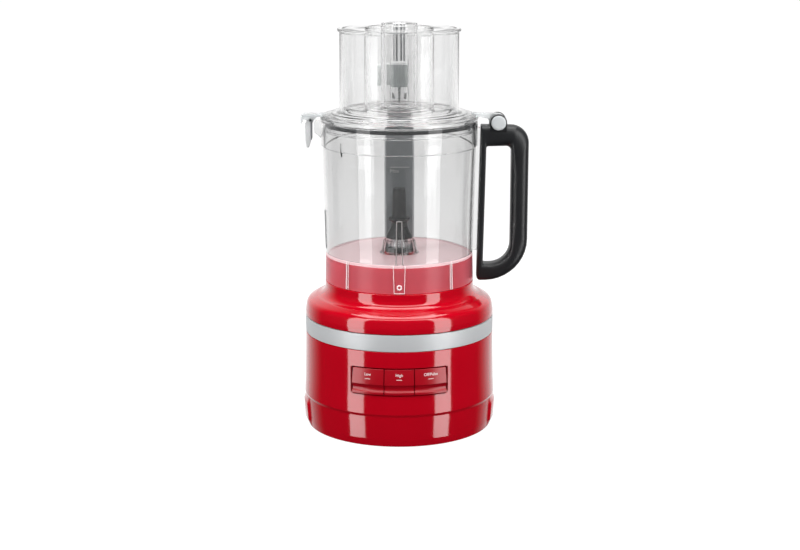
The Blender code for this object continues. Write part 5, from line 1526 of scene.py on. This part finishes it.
@dataclass
class Lid:
    """Clear lid with its feed tube, gasket, hinge arm, latch, tower and plunger."""

    tube_r: float = 65.5 * MM
    tube_top: float = 441.0 * MM
    rim_r: float = 87.0 * MM
    plug_r: float = 81.9 * MM
    plug_low: float = 333.0 * MM

    def build(self) -> None:
        """Build the lid's pieces."""
        self.cover()
        self.gasket()
        self.arm()
        self.latch()
        self.tower()
        self.plunger()

    def cover(self) -> None:
        """Stepped rings, the rim and plug, and the tall feed tube, as one turned wall."""
        tube_in = self.tube_r - 1.7 * MM
        profile = rounded(
            [
                (self.tube_r, self.tube_top, 0.6 * MM),
                (self.tube_r, 355.6 * MM, 1.4 * MM),
                (70.0 * MM, 354.6 * MM, 1.0 * MM),
                (75.4 * MM, 354.2 * MM, 0.6 * MM),
                (76.0 * MM, 352.9 * MM, 0.4 * MM),
                (79.6 * MM, 352.5 * MM, 0.6 * MM),
                (80.2 * MM, 351.5 * MM, 0.4 * MM),
                (84.4 * MM, 351.0 * MM, 0.8 * MM),
                (84.9 * MM, 348.8 * MM, 0.6 * MM),
                (self.rim_r, 348.5 * MM, 0.7 * MM),
                (self.rim_r, 345.7 * MM, 0.5 * MM),
                (self.plug_r, 345.6 * MM, 0.3 * MM),
                (self.plug_r, 343.3 * MM, 0.2 * MM),
                (79.3 * MM, 343.3 * MM, 0.2 * MM),
                (79.3 * MM, 335.3 * MM, 0.2 * MM),
                (self.plug_r - 0.2 * MM, 335.3 * MM, 0.2 * MM),
                (self.plug_r - 0.3 * MM, self.plug_low, 0.6 * MM),
                (77.0 * MM, self.plug_low, 0.6 * MM),
                (77.2 * MM, 347.6 * MM, 1.6 * MM),
                (72.0 * MM, 351.4 * MM, 3.0 * MM),
                (tube_in, 352.4 * MM, 1.0 * MM),
                (tube_in, self.tube_top, 0.6 * MM),
            ]
        )
        cover = turned(profile, 256).piece("lid_cover", LID_COPOLYESTER, 26.0)
        settle(cover, "cover", ["lid"])

    def gasket(self) -> None:
        """Dark ring gasket under the rim, rounded outside."""
        profile = rounded(
            [
                (82.2 * MM, 342.9 * MM, 0.7 * MM),
                (82.2 * MM, 339.2 * MM, 0.7 * MM),
                (79.5 * MM, 338.6 * MM, 0.3 * MM),
                (79.5 * MM, 343.0 * MM, 0.2 * MM),
            ]
        )
        ring = turned(profile, 256).piece("gasket", DARK_SILICONE, 40.0)
        settle(ring, "cover", ["lid_seal"])

    def arm(self) -> None:
        """Hinge arm that tapers from the rim to a round knuckle, with a hole for the pin."""
        corners = [
            (79.0 * MM, 350.0 * MM, 0.3 * MM),
            (97.6 * MM, 346.6 * MM, 1.5 * MM),
            (100.8 * MM, 339.5 * MM, 2.0 * MM),
            (108.9 * MM, 334.5 * MM, 7.6 * MM),
            (117.1 * MM, 334.5 * MM, 8.0 * MM),
            (117.1 * MM, 351.9 * MM, 8.6 * MM),
            (98.0 * MM, 352.1 * MM, 3.0 * MM),
            (79.0 * MM, 352.9 * MM, 0.3 * MM),
        ]
        plate = slab(rounded(corners), -5.6 * MM, 5.6 * MM, 0.8 * MM)
        arm = plate.piece("hinge_arm", MILKY_COPOLYESTER, 30.0)
        hole = slab(circle_outline((108.9 * MM, 342.7 * MM), 3.2 * MM, 32), -8 * MM, 8 * MM, 0.0)
        cut_from(arm, [hole.piece("pin_hole", MILKY_COPOLYESTER)], "DIFFERENCE")
        settle(arm, "cover")

    def latch(self) -> None:
        """Bracket plate with two cheeks, and the tapered finger lever on its pin."""
        corners = [
            (-107.8 * MM, 348.6 * MM, 0.8 * MM),
            (-84.5 * MM, 348.9 * MM, 0.4 * MM),
            (-80.6 * MM, 349.2 * MM, 0.4 * MM),
            (-80.6 * MM, 351.7 * MM, 0.6 * MM),
            (-106.0 * MM, 351.6 * MM, 1.6 * MM),
            (-108.2 * MM, 350.0 * MM, 0.8 * MM),
        ]
        shell = slab(rounded(corners), -8.9 * MM, 8.9 * MM, 0.35 * MM)
        cheek = [
            (-108.2 * MM, 341.6 * MM, 0.5 * MM),
            (-106.8 * MM, 341.6 * MM, 0.5 * MM),
            (-106.2 * MM, 346.6 * MM, 1.2 * MM),
            (-101.0 * MM, 345.0 * MM, 1.5 * MM),
            (-97.5 * MM, 342.6 * MM, 2.4 * MM),
            (-93.6 * MM, 345.4 * MM, 1.5 * MM),
            (-89.0 * MM, 349.9 * MM, 0.4 * MM),
            (-108.0 * MM, 349.9 * MM, 0.4 * MM),
        ]
        for side in (-1.0, 1.0):
            low, high = sorted((side * 6.5 * MM, side * 8.9 * MM))
            shell.merge(slab(rounded(cheek), low, high, 0.3 * MM))
        bracket = shell.piece("latch_bracket", MILKY_COPOLYESTER, 30.0)
        settle(bracket, "cover")
        dress(["latch_pin"], BLACK_ABS)
        finger = [
            (-103.9 * MM, 340.5 * MM, 6.0 * MM),
            (-103.4 * MM, 322.0 * MM, 30.0 * MM),
            (-102.2 * MM, 314.5 * MM, 1.4 * MM),
            (-99.6 * MM, 314.5 * MM, 1.4 * MM),
            (-97.4 * MM, 321.5 * MM, 6.0 * MM),
            (-97.4 * MM, 347.9 * MM, 0.6 * MM),
            (-99.6 * MM, 347.4 * MM, 1.4 * MM),
            (-102.8 * MM, 342.6 * MM, 3.0 * MM),
        ]
        lever = slab(rounded(finger), -5.6 * MM, 5.6 * MM, 0.5 * MM)
        piece = lever.piece("latch_finger", GREY_ACETAL, 30.0)
        settle(piece, "lever", ["latch_lever"])
        # A dark grey strip along the lever's inner edge: painted shade, not a part of the latch.
        shade_strip = [
            (-97.35 * MM, 322.0 * MM, 0.3 * MM),
            (-96.0 * MM, 324.5 * MM, 0.5 * MM),
            (-95.9 * MM, 341.8 * MM, 0.5 * MM),
            (-94.6 * MM, 343.4 * MM, 0.5 * MM),
            (-94.6 * MM, 347.6 * MM, 1.0 * MM),
            (-97.35 * MM, 347.6 * MM, 0.3 * MM),
        ]
        shade = slab(rounded(shade_strip), -5.4 * MM, 5.4 * MM, 0.25 * MM)
        settle(shade.piece("latch_shade_strip", SHADE_AND_STRIPE_GREY), "lever")

    def tower(self) -> None:
        """Thin clear box behind the tube, with ledges that guide the plunger."""
        half = 17.6 * MM
        front = 68.0 * MM
        back = 96.4 * MM
        outer = box_outline((-half, front), (half, back), 3.0 * MM)
        thick = 1.5 * MM
        inner = box_outline((-half + thick, front + thick), (half - thick, back - thick), 1.8 * MM)
        wall = slab(outer, 351.6 * MM, 395.8 * MM, 0.5 * MM, "xy").piece("tower", LID_COPOLYESTER)
        core = slab(inner, 353.2 * MM, 400.0 * MM, 0.0, "xy").piece("core", LID_COPOLYESTER)
        slot = slab(box_outline((-24.0 * MM, 375.0 * MM), (-12.0 * MM, 400.0 * MM), 0.5 * MM),
                    72.0 * MM, 94.0 * MM, 0.0)
        round_hole = circle_outline((0.0, 91.0 * MM), 2.4 * MM, 24)
        hole = slab(round_hole, 345.0 * MM, 360.0 * MM, 0.0, "xy")
        tools = [core, slot.piece("slot", LID_COPOLYESTER), hole.piece("hole", LID_COPOLYESTER)]
        cut_from(wall, tools, "DIFFERENCE")
        settle(wall, "cover")
        shell = Shell()
        for side in (-1.0, 1.0):
            wedge = [
                (side * 6.4 * MM, 358.6 * MM),
                (side * 12.2 * MM, 357.4 * MM),
                (side * 12.2 * MM, 364.4 * MM),
                (side * 9.4 * MM, 364.4 * MM),
            ]
            outline = np.array(wedge if side > 0.0 else wedge[::-1])
            shell.merge(slab(outline, 70.0 * MM, 71.2 * MM, 0.2 * MM))
        stops = shell.piece("tower_stops", BLACK_ABS)
        settle(stops, "cover")

    def plunger(self) -> None:
        """White sprung block with its side tab, leg and coil spring."""
        shell = slab(box_outline((-15.4 * MM, 70.6 * MM), (15.4 * MM, 93.6 * MM), 1.6 * MM),
                     370.2 * MM, 393.9 * MM, 1.0 * MM, "xy")
        block = shell.piece("plunger_block", WHITE_ACETAL, 34.0)
        tab = slab(box_outline((-31.0 * MM, 371.5 * MM), (-13.0 * MM, 393.0 * MM), 0.8 * MM),
                   74.5 * MM, 90.0 * MM, 0.6 * MM)
        shank = circle_outline((0.0, 91.0 * MM), 1.8 * MM, 24)
        leg = slab(shank, 342.0 * MM, 371.0 * MM, 0.2 * MM, "xy")
        tools = [tab.piece("tab", WHITE_ACETAL), leg.piece("leg", WHITE_ACETAL)]
        cut_from(block, tools, "UNION")
        settle(block, "plunger", ["interlock_plunger"])
        dress(["plunger_spring"], GROUND_STEEL)


@dataclass
class Pushers:
    """Three nested pushers: a wide cup, a chute inside it, and the small cup."""

    flange_r: float = 67.7 * MM
    flange_z: float = 442.0 * MM
    low_z: float = 352.5 * MM
    low_r: float = 60.5 * MM

    def build(self) -> None:
        """Build the pushers."""
        self.large()
        self.medium()
        self.small()

    def large(self) -> None:
        """Wide cup with a rolled flange, a chute, the rear arm with its lug, and curved webs."""
        flange_top = self.flange_z + 2.9 * MM
        outer = rounded(
            [
                (self.flange_r, flange_top, 0.8 * MM),
                (self.flange_r, self.flange_z, 0.8 * MM),
                (63.2 * MM, self.flange_z, 0.8 * MM),
                (self.low_r + 0.7 * MM, 375.0 * MM, 60.0 * MM),
                (self.low_r - 0.3 * MM, self.low_z, 9.0 * MM),
                (36.4 * MM, self.low_z, 2.4 * MM),
                (36.4 * MM, flange_top - 0.6 * MM, 0.8 * MM),
                (38.2 * MM, flange_top - 0.6 * MM, 0.8 * MM),
                (38.2 * MM, self.low_z + 2.0 * MM, 2.4 * MM),
                (self.low_r - 2.0 * MM, self.low_z + 2.0 * MM, 7.2 * MM),
                (self.low_r - 1.1 * MM, 375.0 * MM, 60.0 * MM),
                (61.4 * MM, flange_top - 1.6 * MM, 0.8 * MM),
                (62.8 * MM, flange_top, 0.6 * MM),
            ]
        )
        cup = turned(outer, 224).piece("large_cup", THIN_COPOLYESTER, 30.0)
        arm = slab(box_outline((-9.9 * MM, 397.6 * MM), (9.9 * MM, 444.0 * MM), 1.2 * MM),
                   66.4 * MM, 70.9 * MM, 0.6 * MM)
        lug = slab(box_outline((-9.9 * MM, 62.0 * MM), (9.9 * MM, 70.9 * MM), 1.0 * MM),
                   self.flange_z + 0.2 * MM, flange_top - 0.2 * MM, 0.4 * MM, "xy")
        tools = [arm.piece("arm", THIN_COPOLYESTER), lug.piece("lug", THIN_COPOLYESTER)]
        cut_from(cup, tools, "UNION")
        settle(cup, "pusher_large", ["large_pusher"])
        self.webs(flange_top)
        self.stripes()

    def webs(self, top: float) -> None:
        """Deck between cup and chute, with four scooped webs hanging under it."""
        deck = rounded(
            [
                (61.0 * MM, top - 0.3 * MM, 0.5 * MM),
                (61.0 * MM, top - 1.5 * MM, 0.3 * MM),
                (38.6 * MM, top - 1.5 * MM, 0.3 * MM),
                (38.6 * MM, top - 0.3 * MM, 0.5 * MM),
            ]
        )
        shell = turned(deck, 192)
        sweep = np.linspace(0.0, 1.0, 13)
        for degrees in (40.0, 140.0, 220.0, 320.0):
            angle = math.radians(degrees)
            along = 38.8 * MM + 12.0 * MM * sweep
            deep = top - 1.6 * MM - 7.5 * MM * np.sqrt(1.0 - sweep**2)
            rim = np.stack([along, np.full(13, top - 1.55 * MM)], axis=1)
            edge = np.stack([along, deep], axis=1)
            outline = np.concatenate([edge[:-1], rim[::-1]])
            wide = 0.6 * MM
            for_side = []
            for side in (-wide, wide):
                x = AXIS_X + outline[:, 0] * math.cos(angle) - side * math.sin(angle)
                y = outline[:, 0] * math.sin(angle) + side * math.cos(angle)
                for_side.append(np.stack([x, y, outline[:, 1]], axis=1))
            grid = np.stack(for_side)
            web = Shell().surface(grid, Wrap.AROUND)
            count = len(outline)
            web.faces.append(np.arange(count)[None, ::-1])
            web.faces.append(np.arange(count)[None, :] + count)
            shell.merge(web)
        webs = shell.piece("large_deck", THIN_COPOLYESTER, 30.0)
        settle(webs, "pusher_large")

    def stripes(self) -> None:
        """Four thin dark grey stripes against the inner face of the rear arm."""
        shell = Shell()
        for x, half in ((-8.6, 0.7), (-4.0, 1.5), (2.9, 1.3), (7.7, 1.2)):
            low, high = (x - half) * MM, (x + half) * MM
            bar = box_outline((low, 398.4 * MM), (high, 441.0 * MM), 0.3 * MM)
            shell.merge(slab(bar, 65.9 * MM, 66.3 * MM, 0.1 * MM))
        ribs = shell.piece("arm_stripes", SHADE_AND_STRIPE_GREY)
        settle(ribs, "pusher_large")

    def medium(self) -> None:
        """Round pusher with a thin flange and its own chute."""
        top = 446.6 * MM
        profile = rounded(
            [
                (37.4 * MM, top - 0.1 * MM, 0.5 * MM),
                (37.4 * MM, top - 1.5 * MM, 0.5 * MM),
                (35.8 * MM, top - 1.7 * MM, 0.4 * MM),
                (35.4 * MM, self.low_z + 2.2 * MM, 5.0 * MM),
                (18.5 * MM, self.low_z + 2.2 * MM, 1.2 * MM),
                (18.5 * MM, top + 0.9 * MM, 0.5 * MM),
                (20.2 * MM, top + 0.9 * MM, 0.5 * MM),
                (20.2 * MM, self.low_z + 4.2 * MM, 1.8 * MM),
                (33.6 * MM, self.low_z + 4.2 * MM, 3.6 * MM),
                (34.2 * MM, top - 1.6 * MM, 0.4 * MM),
                (34.6 * MM, top - 0.1 * MM, 0.4 * MM),
            ]
        )
        cup = turned(profile, 192).piece("medium_cup", THIN_COPOLYESTER, 30.0)
        settle(cup, "pusher_medium", ["medium_pusher"])

    def small(self) -> None:
        """Small cup with a grip ring that stands above the rest."""
        top = 450.5 * MM
        profile = rounded(
            [
                (19.6 * MM, top, 0.8 * MM),
                (19.6 * MM, top - 1.7 * MM, 0.6 * MM),
                (17.9 * MM, top - 2.4 * MM, 0.5 * MM),
                (17.4 * MM, 356.6 * MM, 2.4 * MM),
                (0.0, 356.6 * MM, 0.0),
            ],
            closed=False,
        )
        inner = rounded(
            [
                (0.0, 358.4 * MM, 0.0),
                (15.7 * MM, 358.4 * MM, 1.4 * MM),
                (16.2 * MM, top - 2.4 * MM, 0.5 * MM),
                (17.0 * MM, top, 0.7 * MM),
                (18.0 * MM, top, 0.0),
            ],
            closed=False,
        )
        whole = np.concatenate([inner, profile])
        cup = turned_open(whole, 160).piece("small_cup", THIN_COPOLYESTER, 30.0)
        settle(cup, "pusher_small", ["small_pusher"])


# ---------------------------------------------------------------------------
# Studio
# ---------------------------------------------------------------------------


@dataclass(frozen=True)
class Lamp:
    """One rectangular lamp.

    Attributes:
        name: The lamp's name.
        place: Its centre, measured from the world's origin.
        size: Width and height.
        watts: Power.
        aim: The point it faces.
        mirrored: Whether glossy surfaces show it.
        spread_deg: Angle of its beam.
    """

    name: str
    place: tuple[float, float, float]
    size: Point
    watts: float
    aim: tuple[float, float, float]
    mirrored: bool = True
    spread_deg: float = 180.0


@dataclass
class Studio:
    """Pale cyclorama, soft boxes that show in the gloss, fills that don't, and the camera."""

    floor_shade: str = "#6E6E6E"
    lens_mm: float = 74.08
    distance: float = 1.80711
    height: float = 0.58287
    pitch_deg: float = 12.8968

    def build(self) -> None:
        """Set the stage."""
        self.backdrop()
        self.lamps()
        self.world()
        self.camera()
        self.colour()

    def backdrop(self) -> None:
        """Floor that curves up into a wall behind, as one swept sheet."""
        bend = np.linspace(0.0, 0.5 * math.pi, 24)
        radius = 1.2
        line = np.concatenate(
            [
                [[-4.0, 0.0]],
                np.stack([2.0 + radius * np.sin(bend), radius * (1.0 - np.cos(bend))], axis=1),
                [[3.2, 5.0]],
            ]
        )
        x = np.array([-2.8, 2.8])
        grid = np.empty((len(line), 2, 3))
        grid[..., 0] = x
        grid[..., 1] = line[:, 0:1]
        grid[..., 2] = line[:, 1:2]
        paper = Finish("paper_white_backdrop", self.floor_shade, 0.9, glow=0.93)
        sheet = Shell().surface(grid[:, ::-1, :]).piece("backdrop", paper)
        sheet.visible_glossy = False
        sheet.visible_diffuse = False

    def lamps(self) -> None:
        """Two strips and a bar in front, one overhead, three fills and a tower spot."""
        strip_turn = math.radians(52.5)
        strip_reach = 1.7
        strip_x = strip_reach * math.sin(strip_turn)
        strip_y = -strip_reach * math.cos(strip_turn)
        strip, strip_aim = (0.66, 2.6), (AXIS_X, 0.0, 0.25)
        fill, fill_aim = (2.0, 2.0), (AXIS_X, 0.0, 0.2)
        for lamp in (
            Lamp("strip_left", (AXIS_X - strip_x, strip_y, 0.45), strip, 25.0, strip_aim),
            Lamp("strip_right", (AXIS_X + strip_x, strip_y, 0.45), strip, 25.0, strip_aim),
            Lamp("strip_bar", (AXIS_X, -1.15, 1.72), (2.6, 0.5), 14.0, fill_aim),
            Lamp("overhead", (0.0, 0.1, 2.3), (2.2, 1.4), 48.0, (0.0, 0.0, 0.2)),
            Lamp("fill_front", (AXIS_X, -2.6, 1.1), (3.0, 2.0), 12.0, fill_aim, False),
            Lamp("tower_snoot", (AXIS_X, -2.0, 0.95), (0.08, 0.08), 0.16,
                 (AXIS_X, 0.08, 0.385), False, 6.0),
            Lamp("fill_left", (AXIS_X - 2.4, -0.3, 0.9), fill, 17.0, fill_aim, False),
            Lamp("fill_right", (AXIS_X + 2.4, -0.3, 0.9), fill, 17.0, fill_aim, False),
        ):
            self.hang(lamp)

    def hang(self, lamp: Lamp) -> None:
        """Add one lamp to the scene, turned to face its aim."""
        data = bpy.data.lights.new(lamp.name, "AREA")
        data.shape = "RECTANGLE"
        data.size, data.size_y = lamp.size
        data.energy = lamp.watts
        data.spread = math.radians(lamp.spread_deg)
        holder = bpy.data.objects.new(lamp.name, data)
        bpy.context.scene.collection.objects.link(holder)
        place = Vector(lamp.place)
        holder.location = place
        holder.rotation_euler = (Vector(lamp.aim) - place).to_track_quat("-Z", "Y").to_euler()
        holder.visible_glossy = lamp.mirrored

    def world(self) -> None:
        """Surround: bright straight behind the object, dim everywhere else.

        The brightness follows the ray's Y alone, through a smooth ramp.
        """
        world = bpy.data.worlds.new("studio")
        bpy.context.scene.world = world
        world.use_nodes = True
        tree = world.node_tree
        shade = tree.nodes["Background"]
        place = add_node(tree, "ShaderNodeTexCoord")
        split = add_node(
            tree, "ShaderNodeSeparateXYZ", links={"Vector": place.outputs["Generated"]}
        )
        ramp = add_node(
            tree,
            "ShaderNodeMapRange",
            {"interpolation_type": "SMOOTHSTEP"},
            {"From Min": 0.3, "From Max": 0.95, "To Min": 0.03, "To Max": 1.0},
            {"Value": split.outputs["Y"]},
        )
        tree.links.new(ramp.outputs["Result"], shade.inputs["Strength"])
        shade.inputs["Color"].default_value = (1.0, 1.0, 1.0, 1.0)

    def camera(self) -> None:
        """Camera straight in front, a little above, looking slightly down."""
        data = bpy.data.cameras.new("camera")
        data.lens = self.lens_mm
        data.sensor_width = 36.0
        data.dof.use_dof = False
        data.clip_end = 50.0
        holder = bpy.data.objects.new("camera", data)
        bpy.context.scene.collection.objects.link(holder)
        holder.location = (AXIS_X + 0.0008, -self.distance, self.height)
        holder.rotation_euler = (math.radians(90.0 - self.pitch_deg), 0.0, 0.0)
        bpy.context.scene.camera = holder

    def colour(self) -> None:
        """Plain view transform, and enough bounces for nested clear walls."""
        scene = bpy.context.scene
        scene.view_settings.view_transform = "Standard"
        scene.view_settings.look = "None"
        scene.cycles.max_bounces = 32
        scene.cycles.transmission_bounces = 32
        scene.cycles.transparent_max_bounces = 32
        scene.cycles.glossy_bounces = 8
        scene.cycles.diffuse_bounces = 3
        scene.cycles.caustics_reflective = False
        scene.cycles.caustics_refractive = False


def main() -> None:
    """Build every sub-assembly in order and set the stage."""
    logging.basicConfig(level=logging.INFO, format="%(message)s")
    for part in (Base(), Bowl(), Handle(), Drive(), Channel(), Lid(), Pushers(), Studio()):
        part.build()
        LOG.info("%s done", type(part).__name__)


if __name__ == "__main__":
    main()
